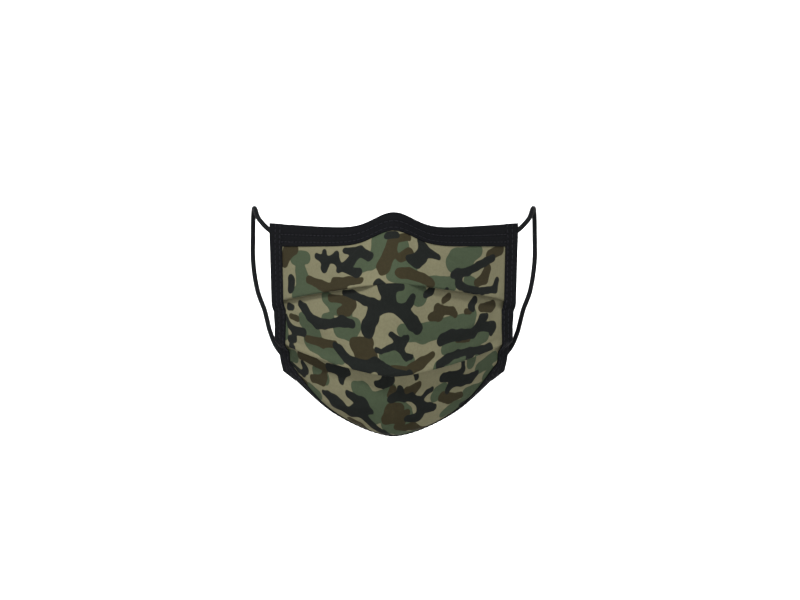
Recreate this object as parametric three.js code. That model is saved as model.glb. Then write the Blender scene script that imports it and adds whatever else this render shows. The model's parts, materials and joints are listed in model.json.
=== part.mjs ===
// A pleated cloth face mask in its worn shape, in millimetres, +Z up, -Y to the front.
// The origin is the seat on the bridge of the nose: the inside of the top binding, half way down it.
// Left and right are the wearer's, so left is +X.
import * as THREE from "three";

// ---- Driving dimensions ----
const FACE_HALF_WIDTH = 70; // centre line to a top corner, seen from the front
const FACE_HEIGHT = 125.5; // top of the nose hump to the lowest point under the chin
const FACE_DEPTH = 74.5; // tip of the nose back to a top corner
const PLY = 0.5; // one ply of cloth
const GAP = 0.3; // between touching pieces
const TAPE = 0.5; // thickness of the binding tape
const TOP_WIDTH = 12; // each binding, from its fold to its raw edge
const SIDE_WIDTH = 12;
const BOTTOM_WIDTH = 10;
const WIRE_WIDTH = 4;
const WIRE_THICKNESS = 0.9;
const WIRE_LENGTH = 100;
const LEDGE = 1.0; // drop of the cloth below the upper pleat
const LEDGE_RUN = 3;
const UNDERLAP = 12; // cloth hidden above the lower pleat's edge
const NEST_GAP = 0.7; // running gap between the mouth panel and the chin panel
const SWING_GAP = 1.3; // running gap where a side binding bends
const UNDERLAP_SIDE_GAP = 2.5; // from the hidden cloth to a side binding
const STITCH_INSET = 2; // from a binding's raw edge to its line of stitches
const THREAD = 0.5;
const CORD = 2.8; // diameter of the ear cord
const CORD_SEAT = 2; // from the mask's side edge in to where the cord is sewn down
const CORD_LEAD = 3; // from the mask's side edge out to where the cord is free to turn
const TACK_LENGTH = 7;
const TACK_WIDTH = 3.4;
const TACK_FROM_END = 5; // from a side binding's end to the middle of its bar tack
const LEG_SHARE = 0.2; // of the cord's length, from a tack to where the bow starts
const CORD_SIDES = 8;

// The cloth's plies from the outside in, as offsets from the outer face.
const STACK = 3 * PLY + 2 * GAP;
const OUTER = [0, -PLY];
const FILTER = [-PLY - GAP, -2 * PLY - GAP];
const LINING = [-2 * PLY - 2 * GAP, -STACK];

// Contours across the face from the top edge down. Each is a share of the face's sizes: mid is the centre
// line's [depth, drop], side is the side edge's [width, depth, drop]. power and round shape the plan, and
// rise is the hump over the nose in millimetres.
const CONTOURS = [
  { mid: [0.23, 0], side: [1, 1, 0.043], power: 1.3, round: 0.12, rise: 9.2 },
  { mid: [0.107, 0.143], side: [0.997, 0.96, 0.159], power: 1.28, round: 0.13, rise: 5 },
  { mid: [0, 0.275], side: [0.983, 0.893, 0.371], power: 1.26, round: 0.16, rise: 1.5 },
  { mid: [0.007, 0.43], side: [0.966, 0.859, 0.446], power: 1.36, round: 0.24, rise: 0 },
  { mid: [0.04, 0.574], side: [0.957, 0.866, 0.506], power: 1.5, round: 0.3, rise: 0 },
  { mid: [0.081, 0.717], side: [0.954, 0.886, 0.562], power: 1.6, round: 0.35, rise: 0 },
  { mid: [0.168, 0.853], side: [0.949, 0.906, 0.618], power: 1.7, round: 0.35, rise: 0 },
  { mid: [0.342, 0.964], side: [0.937, 0.926, 0.665], power: 1.75, round: 0.35, rise: 0 },
  { mid: [0.557, 1], side: [0.923, 0.94, 0.713], power: 1.9, round: 0.3, rise: 0 },
];
const UPPER_PLEAT = 2; // the contours that the two pleats' edges follow
const LOWER_PLEAT = 5;
const HUMP_WIDTH = 15; // of the nose hump, to where it has fallen by two thirds
const DROP_POWER = 1.6; // how a contour's height runs from the centre line to the side

// The ear cord's route on the left, between its two ends on the mask, in the part's own frame.
const EAR_ROUTE = [
  [76, 76, 3.5],
  [79, 92, 10],
  [80, 104, 8],
  [80.5, 113, -4],
  [80.5, 115.5, -20],
  [80, 110, -36],
  [78, 98, -49],
  [74, 82, -60],
];

// ---- The face that the cloth follows ----
const knots = CONTOURS.map(() => 0);
for (let k = 1; k < CONTOURS.length; k++) {
  const [a, b] = [CONTOURS[k - 1].mid, CONTOURS[k].mid];
  knots[k] = knots[k - 1] + Math.hypot((b[0] - a[0]) * FACE_DEPTH, (b[1] - a[1]) * FACE_HEIGHT);
}
const MID_LENGTH = knots[knots.length - 1];
knots.forEach((v, k) => (knots[k] = v / MID_LENGTH));

// A point of one contour. t runs from -1 at the right side edge to 1 at the left one.
function contourPoint({ mid, side, power, round, rise }, t) {
  const bend = (v) => (v * v + round * round) ** (power / 2) - round ** power;
  const back = bend(t) / bend(1);
  const x = t * side[0] * FACE_HALF_WIDTH;
  const low = -mid[1] * FACE_HEIGHT - rise;
  const drop = low + (-side[2] * FACE_HEIGHT - low) * Math.abs(t) ** DROP_POWER;
  return new THREE.Vector3(
    x,
    (mid[0] + (side[1] - mid[0]) * back) * FACE_DEPTH,
    drop + rise * Math.exp(-((x / HUMP_WIDTH) ** 2)),
  );
}

// The cloth's outer face. h runs from 0 at the top edge to 1 at the bottom edge.
function facePoint(t, h) {
  const last = CONTOURS.length - 1;
  let k = 0;
  while (k < last - 1 && h > knots[k + 1]) k++;
  const span = knots[k + 1] - knots[k];
  const u = (h - knots[k]) / span;
  const at = (i) => contourPoint(CONTOURS[Math.min(Math.max(i, 0), last)], t);
  const slope = (i) => {
    const [a, b] = [Math.max(i - 1, 0), Math.min(i + 1, last)];
    return at(b).sub(at(a)).multiplyScalar(span / (knots[b] - knots[a]));
  };
  return at(k)
    .multiplyScalar(1 - 3 * u * u + 2 * u ** 3)
    .addScaledVector(at(k + 1), 3 * u * u - 2 * u ** 3)
    .addScaledVector(slope(k), u - 2 * u * u + u ** 3)
    .addScaledVector(slope(k + 1), u ** 3 - u * u);
}

const STEP = 1e-3;
const across = (t, h) => facePoint(t + STEP, h).sub(facePoint(t - STEP, h)).divideScalar(2 * STEP);
const down = (t, h) => facePoint(t, h + STEP).sub(facePoint(t, h - STEP)).divideScalar(2 * STEP);

// The point n millimetres outside the face.
function placed(t, h, n) {
  const normal = down(t, h).cross(across(t, h)).normalize();
  return facePoint(t, h).addScaledVector(normal, n);
}

// t and h at a distance in millimetres from an edge of the mask.
const fromSide = (e, h) => 1 - e / across(0.95, h).length();
const fromTop = (e, t) => e / down(t, 0.04).length();
const fromBottom = (e, t) => 1 - e / down(t, 0.96).length();
const upperPleat = knots[UPPER_PLEAT];
const lowerPleat = knots[LOWER_PLEAT];
const beyond = (h0, e, t) => h0 + e / down(t, h0).length();

// How far the cloth lies inside the face: it steps in below each pleat.
function ledge(t, h) {
  const u = THREE.MathUtils.clamp((h - upperPleat) / (beyond(upperPleat, LEDGE_RUN, t) - upperPleat), 0, 1);
  return -LEDGE * u;
}
const CHIN_INSET = -LEDGE - STACK - NEST_GAP;

// ---- Solids ----
// A closed solid through rings of points. section is the ring's outline in the plane, for the end caps.
// Each quad is cut along its shorter diagonal, so that faces that lie on each other are cut alike.
function loft(rings, section) {
  const n = section.length;
  const points = rings.flat();
  const positions = points.flatMap((p) => [p.x, p.y, p.z]);
  const index = [];
  for (let i = 0; i + 1 < rings.length; i++) {
    for (let j = 0; j < n; j++) {
      const [a, b] = [i * n + j, i * n + ((j + 1) % n)];
      const [c, d] = [a + n, b + n];
      if (points[b].distanceTo(points[c]) < points[a].distanceTo(points[d])) index.push(a, b, c, b, d, c);
      else index.push(a, b, d, a, d, c);
    }
  }
  const flat = section.map(([x, y]) => new THREE.Vector2(x, y));
  const turned = THREE.ShapeUtils.isClockWise(flat);
  const last = (rings.length - 1) * n;
  for (const [a, b, c] of THREE.ShapeUtils.triangulateShape(flat, [])) {
    const [p, q] = turned ? [c, b] : [b, c];
    index.push(a, q, p, last + a, last + p, last + q);
  }
  const geometry = new THREE.BufferGeometry();
  geometry.setAttribute("position", new THREE.Float32BufferAttribute(positions, 3));
  const inward = signedVolume(positions, index) < 0;
  for (let i = 0; inward && i < index.length; i += 3) {
    [index[i + 1], index[i + 2]] = [index[i + 2], index[i + 1]];
  }
  geometry.setIndex(index);
  geometry.computeVertexNormals();
  return geometry;
}

function signedVolume(positions, index) {
  const point = (i) => new THREE.Vector3().fromArray(positions, 3 * i);
  let volume = 0;
  for (let i = 0; i < index.length; i += 3) {
    volume += point(index[i]).dot(point(index[i + 1]).cross(point(index[i + 2]))) / 6;
  }
  return volume;
}

// A ply of cloth: rowsAt(t) gives its rows of h, inset its place inside the face, plies its two faces.
function ply(columns, rowsAt, inset, [front, back]) {
  const sideRows = rowsAt(1);
  const count = sideRows.length;
  const rings = columns.map((column) => {
    const face = (n, j) => {
      const t = column(sideRows[j]);
      const h = rowsAt(t)[j];
      return placed(t, h, inset(t, h) + n);
    };
    const rows = [...Array(count).keys()];
    return [...rows.map((j) => face(front, j)), ...rows.reverse().map((j) => face(back, j))];
  });
  const rows = [...Array(count).keys()];
  const section = [...rows.map((j) => [j, 1]), ...rows.reverse().map((j) => [j, 0])];
  return loft(rings, section);
}

// The outline of a folded tape of a width: distance from its fold against the offset from the cloth's face.
function tapeOutline(width) {
  const [front, back, chamfer] = [GAP + TAPE, -STACK - GAP - TAPE, TAPE];
  const middle = width / 2;
  const outside = [
    [width, front], [middle, front], [chamfer, front], [0, GAP],
    [0, back + TAPE], [chamfer, back], [middle, back], [width, back],
  ];
  const inside = [
    [width, back + TAPE], [middle, back + TAPE], [TAPE, back + TAPE],
    [TAPE, GAP], [middle, GAP], [width, GAP],
  ];
  return [...outside, ...inside];
}

// A strip with an outline of [distance from the fold, offset], lofted along its stations.
const strip = (stations, outline, pointAt) =>
  loft(stations.map((s) => outline.map(([e, n]) => pointAt(s, e, n))), outline);

function box(outline, n0, n1) {
  return [[outline[0], n0], [outline[1], n0], [outline[1], n1], [outline[0], n1]];
}

// ---- Where the cloth's columns and rows lie ----
const INNER_COLUMNS = 9; // from the centre line to a side binding, closer together over the nose
const WIRE_STATIONS = 17;
const share = (i) => (i / INNER_COLUMNS) ** 1.15;
const bandColumns = [SIDE_WIDTH, SIDE_WIDTH / 2, TAPE + GAP].map((e) => (h) => fromSide(e, h));
const innerEdge = (h) => fromSide(SIDE_WIDTH + GAP, h);
const innerColumns = [...Array(INNER_COLUMNS + 1).keys()].map((i) => (h) => share(i) * innerEdge(h));
const bothSides = (columns) => [...columns.slice(1).reverse().map((column) => (h) => -column(h)), ...columns];
const clothColumns = bothSides([...innerColumns, ...bandColumns]);
const stripColumns = bothSides(innerColumns);

const between = (a, b, count) => [...Array(count).keys()].map((i) => a + ((b - a) * (i + 1)) / (count + 1));
const WIRE_ROOM = TAPE + GAP + WIRE_WIDTH + GAP;

function frontRows(t) {
  const top = [WIRE_ROOM, (WIRE_ROOM + TOP_WIDTH) / 2, TOP_WIDTH].map((e) => fromTop(e, t));
  const below = beyond(upperPleat, LEDGE_RUN, t);
  return [
    ...top,
    ...between(top[2], upperPleat, 2),
    upperPleat,
    below,
    ...between(below, lowerPleat, 3),
    lowerPleat,
  ];
}

function chinRows(t) {
  const start = beyond(lowerPleat, SWING_GAP, t);
  const bottom = [BOTTOM_WIDTH, BOTTOM_WIDTH / 2, TAPE + GAP].map((e) => fromBottom(e, t));
  return [start, ...between(start, bottom[0], 3), ...bottom];
}

// The fold that the lower pleat hides passes between the side bindings.
const foldRows = (t) => [-UNDERLAP, -UNDERLAP / 2, SWING_GAP - GAP].map((e) => beyond(lowerPleat, e, t));
const foldWidth = fromSide(SIDE_WIDTH + UNDERLAP_SIDE_GAP, lowerPleat);
const foldColumns = [...Array(2 * INNER_COLUMNS + 1).keys()].map((i) => {
  const side = i - INNER_COLUMNS;
  return () => Math.sign(side) * share(Math.abs(side)) * foldWidth;
});

const chinInset = () => CHIN_INSET;

// ---- Materials ----
function finish(color, roughness, metalness = 0) {
  return new THREE.MeshStandardMaterial({ color, roughness, metalness });
}
const camoCloth = finish(0x5c5f45, 0.75);
const innerCloth = finish(0x1d1d20, 0.85);
const filterCloth = finish(0xe4e2dc, 0.9);
const bindingTape = finish(0x17171b, 0.7);
const threadFinish = finish(0x0c0c0f, 0.6);
const elastic = finish(0x101113, 0.8);
const wireFinish = finish(0xb9bcc0, 0.35, 1);

const mask = new THREE.Group();
function add(name, geometry, material, group = mask) {
  const mesh = new THREE.Mesh(geometry, material);
  mesh.name = name;
  group.add(mesh);
}

// ---- The three plies, each split at the lower pleat, where the chin panel swings ----
function addPlies() {
  const plies = [
    ["outer_cloth", OUTER, camoCloth],
    ["filter_layer", FILTER, filterCloth],
    ["inner_lining", LINING, innerCloth],
  ];
  for (const [name, faces, material] of plies) {
    add(name, ply(clothColumns, frontRows, ledge, faces), material);
    add(name + "_chin", ply(clothColumns, chinRows, chinInset, faces), material);
  }
  add("lower_pleat_fold", ply(foldColumns, foldRows, chinInset, [0, -STACK]), camoCloth);
}

// ---- Bindings and their stitches ----
// The line of stitches on a binding of a width, as a strip that stands on the tape.
function stitchOutline(width) {
  const [middle, foot] = [width - STITCH_INSET, 2 * GAP + TAPE];
  return box([middle - THREAD / 2, middle + THREAD / 2], foot, foot + THREAD);
}

function addTopBinding() {
  const pointAt = (t, e, n) => placed(t, fromTop(e, t), n);
  const pointOn = (column, e, n) => pointAt(column(fromTop(e, 1)), e, n);
  add("top_binding", strip(stripColumns, tapeOutline(TOP_WIDTH), pointOn), bindingTape);
  add("top_stitching", strip(stripColumns, stitchOutline(TOP_WIDTH), pointOn), threadFinish);

  // The nose wire lies along the inside of the fold, above the cloth.
  const wireEnd = WIRE_LENGTH / 2 / across(0.3, 0.03).length();
  const wire = box([TAPE + GAP, TAPE + GAP + WIRE_WIDTH], 0, -WIRE_THICKNESS);
  add("nose_wire", strip(between(-wireEnd, wireEnd, WIRE_STATIONS), wire, pointAt), wireFinish);
}

function addBottomBinding() {
  const pointOn = (column, e, n) => {
    const t = column(fromBottom(e, 1));
    return placed(t, fromBottom(e, t), CHIN_INSET + n);
  };
  add("bottom_binding", strip(stripColumns, tapeOutline(BOTTOM_WIDTH), pointOn), bindingTape);
  add("bottom_stitching", strip(stripColumns, stitchOutline(BOTTOM_WIDTH), pointOn), threadFinish);
}

// A side binding is one tape. It bends where the chin panel swings, so it is two solids.
function addSideBinding(side, sign) {
  const parts = [
    ["upper", [0, ...frontRows(1)], ledge],
    ["lower", [...chinRows(1), 1], chinInset],
  ];
  for (const [level, stations, inset] of parts) {
    const pointAt = (h, e, n) => {
      const t = fromSide(e, h);
      return placed(sign * t, h, inset(sign * t, h) + n);
    };
    add(`${side}_binding_${level}`, strip(stations, tapeOutline(SIDE_WIDTH), pointAt), bindingTape);
    add(`${side}_stitching_${level}`, strip(stations, stitchOutline(SIDE_WIDTH), pointAt), threadFinish);
  }
}

// ---- Bar tacks and ear cords ----
const SEAM_BACK = -STACK - 2 * GAP - TAPE; // just off the inner face of a binding
const sewnPlaces = {
  upper: { h: beyond(0, TACK_FROM_END, 1), inset: 0 },
  lower: { h: beyond(1, -TACK_FROM_END, 1), inset: CHIN_INSET },
};

function addTack(side, sign, level) {
  const { h, inset } = sewnPlaces[level];
  const back = inset + SEAM_BACK;
  const outline = box([CORD_SEAT + 2 * GAP, CORD_SEAT + TACK_LENGTH], back, back - CORD);
  const reach = TACK_WIDTH / 2 / down(1, h).length();
  const pointAt = (s, e, n) => placed(sign * fromSide(e, s), s, n);
  add(`${side}_tack_${level}`, strip([h - reach, h + reach], outline, pointAt), threadFinish);
}

// Where the cord's sewn end lies, e millimetres in from the mask's side edge.
function cordEnd(sign, level, e) {
  const { h, inset } = sewnPlaces[level];
  return placed(sign * fromSide(e, h), h, inset + SEAM_BACK - CORD / 2);
}

class Stretch extends THREE.Curve {
  constructor(route, from, to) {
    super();
    Object.assign(this, { route, from, to });
  }

  getPoint(u, target = new THREE.Vector3()) {
    return target.copy(this.route.getPointAt(this.from + (this.to - this.from) * u));
  }
}

function cordSection() {
  const shape = new THREE.Shape();
  for (let i = 0; i < CORD_SIDES; i++) {
    const a = (2 * Math.PI * i) / CORD_SIDES;
    shape[i ? "lineTo" : "moveTo"]((CORD / 2) * Math.cos(a), (CORD / 2) * Math.sin(a));
  }
  return shape;
}

function addEarCord(side, sign, seat, group) {
  const end = (level, e) => cordEnd(sign, level, e).sub(seat);
  const middle = EAR_ROUTE.map(([x, y, z]) => new THREE.Vector3(sign * x, y, z));
  const upper = [end("upper", CORD_SEAT), end("upper", -CORD_LEAD)];
  const lower = [end("lower", -CORD_LEAD), end("lower", CORD_SEAT)];
  const route = new THREE.CatmullRomCurve3([...upper, ...middle, ...lower]);
  const slit = GAP / 2 / route.getLength();
  const stretches = [
    ["cord_upper_leg", 0, LEG_SHARE - slit, 8],
    ["cord_bow", LEG_SHARE + slit, 1 - LEG_SHARE - slit, 26],
    ["cord_lower_leg", 1 - LEG_SHARE + slit, 1, 8],
  ];
  for (const [name, from, to, steps] of stretches) {
    const extrudePath = new Stretch(route, from, to);
    const geometry = new THREE.ExtrudeGeometry(cordSection(), { steps, extrudePath, bevelEnabled: false });
    add(`${side}_${name}`, geometry, elastic, group);
  }
}

// ---- Assembly ----
const seat = placed(0, fromTop(TOP_WIDTH / 2, 0), -STACK - GAP - TAPE);
mask.position.copy(seat).negate();
const cords = new THREE.Group();

addPlies();
addTopBinding();
addBottomBinding();
for (const [side, sign] of [["left", 1], ["right", -1]]) {
  addSideBinding(side, sign);
  addTack(side, sign, "upper");
  addTack(side, sign, "lower");
  addEarCord(side, sign, seat, cords);
}

const part = new THREE.Group();
part.add(mask, cords);
export default part;
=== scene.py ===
"""Looks of a pleated cloth face mask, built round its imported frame.

Everything is in metres in the part's own frame: +Z up, -Y to the front, +X to the wearer's left. The classes work in
millimetres on the face that the cloth follows, and turn to metres when a mesh is made.
"""

import json
import logging
import math
from dataclasses import dataclass, field
from enum import Enum

import bpy
import numpy as np
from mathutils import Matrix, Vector

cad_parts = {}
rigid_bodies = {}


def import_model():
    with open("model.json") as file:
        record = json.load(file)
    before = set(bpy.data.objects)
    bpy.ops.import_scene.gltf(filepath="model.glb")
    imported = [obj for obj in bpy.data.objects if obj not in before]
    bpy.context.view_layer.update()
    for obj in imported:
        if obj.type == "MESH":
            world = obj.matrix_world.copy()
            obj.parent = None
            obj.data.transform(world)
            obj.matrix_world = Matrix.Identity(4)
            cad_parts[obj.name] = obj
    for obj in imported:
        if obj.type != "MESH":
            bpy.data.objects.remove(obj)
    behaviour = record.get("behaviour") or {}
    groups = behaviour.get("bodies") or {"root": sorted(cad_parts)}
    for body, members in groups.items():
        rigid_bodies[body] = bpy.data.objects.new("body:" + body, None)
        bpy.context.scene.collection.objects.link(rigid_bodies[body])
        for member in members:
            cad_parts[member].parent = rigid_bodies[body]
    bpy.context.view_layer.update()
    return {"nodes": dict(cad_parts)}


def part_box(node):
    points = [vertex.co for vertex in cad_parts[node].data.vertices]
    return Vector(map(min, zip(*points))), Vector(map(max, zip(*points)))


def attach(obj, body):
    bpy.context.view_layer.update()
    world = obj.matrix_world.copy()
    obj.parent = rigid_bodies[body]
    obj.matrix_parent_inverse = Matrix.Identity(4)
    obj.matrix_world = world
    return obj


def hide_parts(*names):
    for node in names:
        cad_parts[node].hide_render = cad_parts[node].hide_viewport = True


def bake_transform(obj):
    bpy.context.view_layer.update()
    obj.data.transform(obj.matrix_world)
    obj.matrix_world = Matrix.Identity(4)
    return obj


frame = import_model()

MM = 0.001
log = logging.getLogger("face_mask")


class Edge(Enum):
    """The four bound edges of the mask."""

    TOP = "top"
    BOTTOM = "bottom"
    LEFT = "left"
    RIGHT = "right"


class Side(Enum):
    """The wearer's sides, each with the sign of its X."""

    LEFT = 1
    RIGHT = -1

    @property
    def word(self) -> str:
        """The side's name as the bodies and nodes spell it."""
        return self.name.lower()

    @property
    def edge(self) -> Edge:
        """The mask's edge on this side."""
        return Edge(self.word)


class Body(Enum):
    """The bodies of the frame that hold cloth."""

    MASK = "mask"
    CHIN = "chin_panel"


# ---- Small tools ----


def linear(hex_colour: str) -> tuple[float, float, float, float]:
    """Turns an sRGB hex colour to linear RGBA.

    Args:
        hex_colour: Six hex digits after a hash.

    Returns:
        The linear colour with full alpha.
    """
    levels = [int(hex_colour[i : i + 2], 16) / 255 for i in (1, 3, 5)]
    r, g, b = (v / 12.92 if v <= 0.04045 else ((v + 0.055) / 1.055) ** 2.4 for v in levels)
    return r, g, b, 1.0


def add_node(tree: bpy.types.NodeTree, kind: str, inputs: dict | None = None, **settings: object) -> bpy.types.Node:
    """Adds a node with its settings, values and links.

    Args:
        tree: The node tree to add to.
        kind: The node's type name.
        inputs: Values or output sockets for its inputs, by name or number.
        settings: The node's own properties.

    Returns:
        The new node.
    """
    node = tree.nodes.new(kind)
    for name, value in settings.items():
        setattr(node, name, value)
    for key, value in (inputs or {}).items():
        if isinstance(value, bpy.types.NodeSocket):
            tree.links.new(value, node.inputs[key])
        else:
            node.inputs[key].default_value = value
    return node


def smooth(value: np.ndarray | float, low: float, high: float) -> np.ndarray:
    """Rises smoothly from 0 at low to 1 at high.

    Args:
        value: Where to read it.
        low: Where the rise starts.
        high: Where it ends, which may lie below low.

    Returns:
        The smoothed share.
    """
    u = np.clip((np.asarray(value, float) - low) / (high - low), 0, 1)
    return u * u * (3 - 2 * u)


def make_object(name: str, points: np.ndarray, faces: list, uv: np.ndarray | None = None) -> bpy.types.Object:
    """Makes a smooth mesh object with its faces pointing out.

    Args:
        name: The piece's name.
        points: Its vertices, in metres.
        faces: Its faces, as vertex numbers.
        uv: A place on the flat material for each vertex, in metres.

    Returns:
        The object, linked to the scene.
    """
    volume = 0.0
    for face in faces:
        a = points[face[0]]
        for i in range(1, len(face) - 1):
            volume += float(np.dot(a, np.cross(points[face[i]], points[face[i + 1]])))
    if volume < 0:
        faces = [tuple(reversed(face)) for face in faces]
    mesh = bpy.data.meshes.new(name)
    mesh.from_pydata([tuple(map(float, p)) for p in points], [], [tuple(map(int, face)) for face in faces])
    mesh.polygons.foreach_set("use_smooth", [True] * len(mesh.polygons))
    if uv is not None:
        layer = mesh.uv_layers.new(name="cut")
        corners = np.empty(len(mesh.loops), dtype=np.int64)
        mesh.loops.foreach_get("vertex_index", corners)
        layer.uv.foreach_set("vector", uv[corners].astype(np.float32).ravel())
    mesh.validate()
    obj = bpy.data.objects.new(name, mesh)
    bpy.context.scene.collection.objects.link(obj)
    return obj


def loft_faces(rings: int, count: int) -> list:
    """The faces of a closed tube of rings with both ends capped.

    Args:
        rings: How many rings it has.
        count: How many points a ring has.

    Returns:
        The faces, as vertex numbers.
    """
    faces = []
    for i in range(rings - 1):
        for j in range(count):
            a, b = i * count + j, i * count + (j + 1) % count
            faces.append((a, b, b + count, a + count))
    faces.append(tuple(range(count - 1, -1, -1)))
    faces.append(tuple(range((rings - 1) * count, rings * count)))
    return faces


def arc_length(points: np.ndarray, axis: int = 0) -> np.ndarray:
    """The running length along a line of points.

    Args:
        points: Points, with their coordinates last.
        axis: The axis that the line runs along.

    Returns:
        The length up to each point, 0 at the first.
    """
    steps = np.linalg.norm(np.diff(points, axis=axis), axis=-1)
    pad = [(0, 0)] * steps.ndim
    pad[axis] = (1, 0)
    return np.pad(np.cumsum(steps, axis=axis), pad)


# ---- The face that the cloth follows ----


@dataclass(frozen=True)
class Contour:
    """A line across the face, as shares of its sizes, with its plan shape and its hump over the nose."""

    mid: tuple[float, float]
    side: tuple[float, float, float]
    power: float
    round: float
    rise: float


@dataclass
class Face:
    """The surface of the worn mask's outer cloth. t runs from the right edge, -1, to the left, 1; h runs down."""

    half_width: float = 70
    height: float = 125.5
    depth: float = 74.5
    hump_width: float = 15
    drop_power: float = 1.6
    seat_down: float = 6.0  # from the top edge to the frame's origin: half the top binding's width
    seat_behind: float = 2.9  # from the face back to the frame's origin
    contours: tuple[Contour, ...] = (
        Contour((0.23, 0), (1, 1, 0.043), 1.3, 0.12, 9.2),
        Contour((0.107, 0.143), (0.997, 0.96, 0.159), 1.28, 0.13, 5),
        Contour((0, 0.312), (0.983, 0.893, 0.398), 1.26, 0.16, 1.2),
        Contour((0.007, 0.447), (0.978, 0.859, 0.455), 1.36, 0.24, 0),
        Contour((0.04, 0.574), (0.968, 0.866, 0.506), 1.5, 0.3, 0),
        Contour((0.081, 0.717), (0.964, 0.886, 0.562), 1.6, 0.35, 0),
        Contour((0.168, 0.857), (0.962, 0.906, 0.618), 1.7, 0.35, 0),
        Contour((0.335, 0.98), (0.948, 0.926, 0.672), 1.75, 0.35, 0),
        Contour((0.575, 0.995), (0.93, 0.94, 0.71), 1.9, 0.3, 0),
    )
    upper_contour: int = 2
    lower_contour: int = 5
    seat: np.ndarray = field(init=False)
    knots: np.ndarray = field(init=False)

    def __post_init__(self) -> None:
        """Places the contours along the face, and the frame's origin behind its top edge."""
        mids = np.array([[c.mid[0] * self.depth, c.mid[1] * self.height] for c in self.contours])
        self.knots = arc_length(mids) / arc_length(mids)[-1]
        middle = np.zeros(1)
        down = self.from_edge(Edge.TOP, self.seat_down, middle)
        self.seat = self.placed(middle, down, np.array([-self.seat_behind]))[0]

    def contour_points(self, t: np.ndarray) -> np.ndarray:
        """The points of every contour.

        Args:
            t: Places across the face.

        Returns:
            An array with the contours first and x, y, z last.
        """
        rows = []
        for c in self.contours:
            flat = c.round**c.power
            back = ((t * t + c.round**2) ** (c.power / 2) - flat) / ((1 + c.round**2) ** (c.power / 2) - flat)
            x = t * c.side[0] * self.half_width
            low = -c.mid[1] * self.height - c.rise
            drop = low + (-c.side[2] * self.height - low) * np.abs(t) ** self.drop_power
            y = (c.mid[0] + (c.side[1] - c.mid[0]) * back) * self.depth
            rows.append(np.stack([x, y, drop + c.rise * np.exp(-((x / self.hump_width) ** 2))], -1))
        return np.array(rows)

    def point(self, t: np.ndarray, h: np.ndarray) -> np.ndarray:
        """Points of the face.

        Args:
            t: Places across it.
            h: Places down it, of the same shape.

        Returns:
            The points in millimetres.
        """
        rows = self.contour_points(t)
        last = len(self.contours) - 1
        k = np.searchsorted(self.knots[1:-1], h, "left")
        span = self.knots[k + 1] - self.knots[k]
        u = ((h - self.knots[k]) / span)[..., None]

        def at(i: np.ndarray) -> np.ndarray:
            """The points of each place's contour i."""
            return np.take_along_axis(rows, i[None, ..., None], 0)[0]

        def slope(i: np.ndarray) -> np.ndarray:
            """The way that the face runs down through contour i."""
            a, b = np.maximum(i - 1, 0), np.minimum(i + 1, last)
            return (at(b) - at(a)) * (span / (self.knots[b] - self.knots[a]))[..., None]

        return (
            at(k) * (1 - 3 * u**2 + 2 * u**3)
            + at(k + 1) * (3 * u**2 - 2 * u**3)
            + slope(k) * (u - 2 * u**2 + u**3)
            + slope(k + 1) * (u**3 - u**2)
        )

    def slopes(self, t: np.ndarray, h: np.ndarray, step: float = 1e-3) -> tuple[np.ndarray, np.ndarray]:
        """How the face runs at a place.

        Args:
            t: Places across it.
            h: Places down it.
            step: The step that the slopes are measured over.

        Returns:
            The face's change for one unit of t, and for one of h.
        """
        across = (self.point(t + step, h) - self.point(t - step, h)) / (2 * step)
        down = (self.point(t, h + step) - self.point(t, h - step)) / (2 * step)
        return across, down

    def placed(self, t: np.ndarray, h: np.ndarray, n: np.ndarray) -> np.ndarray:
        """Points that stand off the face.

        Args:
            t: Places across it.
            h: Places down it.
            n: Millimetres outside it.

        Returns:
            The points in millimetres.
        """
        across, down = self.slopes(t, h)
        normal = np.cross(down, across)
        normal /= np.linalg.norm(normal, axis=-1, keepdims=True)
        return self.point(t, h) + normal * np.asarray(n)[..., None]

    def from_edge(self, edge: Edge, inward: np.ndarray | float, along: np.ndarray) -> np.ndarray:
        """The other coordinate of a point that lies some way in from an edge.

        Args:
            edge: The edge.
            inward: Millimetres in from it.
            along: The point's t on the top and bottom edges, and its h on the sides.

        Returns:
            Its h on the top and bottom edges, and its t, without its sign, on the sides.
        """
        if edge is Edge.TOP:
            return inward / np.linalg.norm(self.slopes(along, np.full_like(along, 0.04))[1], axis=-1)
        if edge is Edge.BOTTOM:
            return 1 - inward / np.linalg.norm(self.slopes(along, np.full_like(along, 0.96))[1], axis=-1)
        return 1 - inward / np.linalg.norm(self.slopes(np.full_like(along, 0.95), along)[0], axis=-1)

    def beside(self, edge: Edge, along: np.ndarray, inward: np.ndarray, n: np.ndarray) -> np.ndarray:
        """Points that follow an edge.

        Args:
            edge: The edge.
            along: t on the top and bottom edges, h on the sides.
            inward: Millimetres in from the edge.
            n: Millimetres outside the face.

        Returns:
            The points in millimetres.
        """
        other = self.from_edge(edge, inward, along)
        if edge in (Edge.TOP, Edge.BOTTOM):
            return self.placed(along, other, n)
        sign = 1 if edge is Edge.LEFT else -1
        return self.placed(sign * other, along, n)

    def metres(self, points: np.ndarray) -> np.ndarray:
        """Moves points of the face to the part's frame.

        Args:
            points: Points in millimetres, as placed gives them.

        Returns:
            The points in metres from the frame's origin.
        """
        return (points - self.seat) * MM


FACE = Face()
UPPER_LIP = FACE.knots[FACE.upper_contour]
LOWER_LIP = FACE.knots[FACE.lower_contour]


def middle_ease(h: np.ndarray) -> np.ndarray:
    """How far the cloth between the lips comes back out to the face, in millimetres."""
    return 1.1 * smooth(h, UPPER_LIP + 0.03, LOWER_LIP - 0.03)


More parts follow.
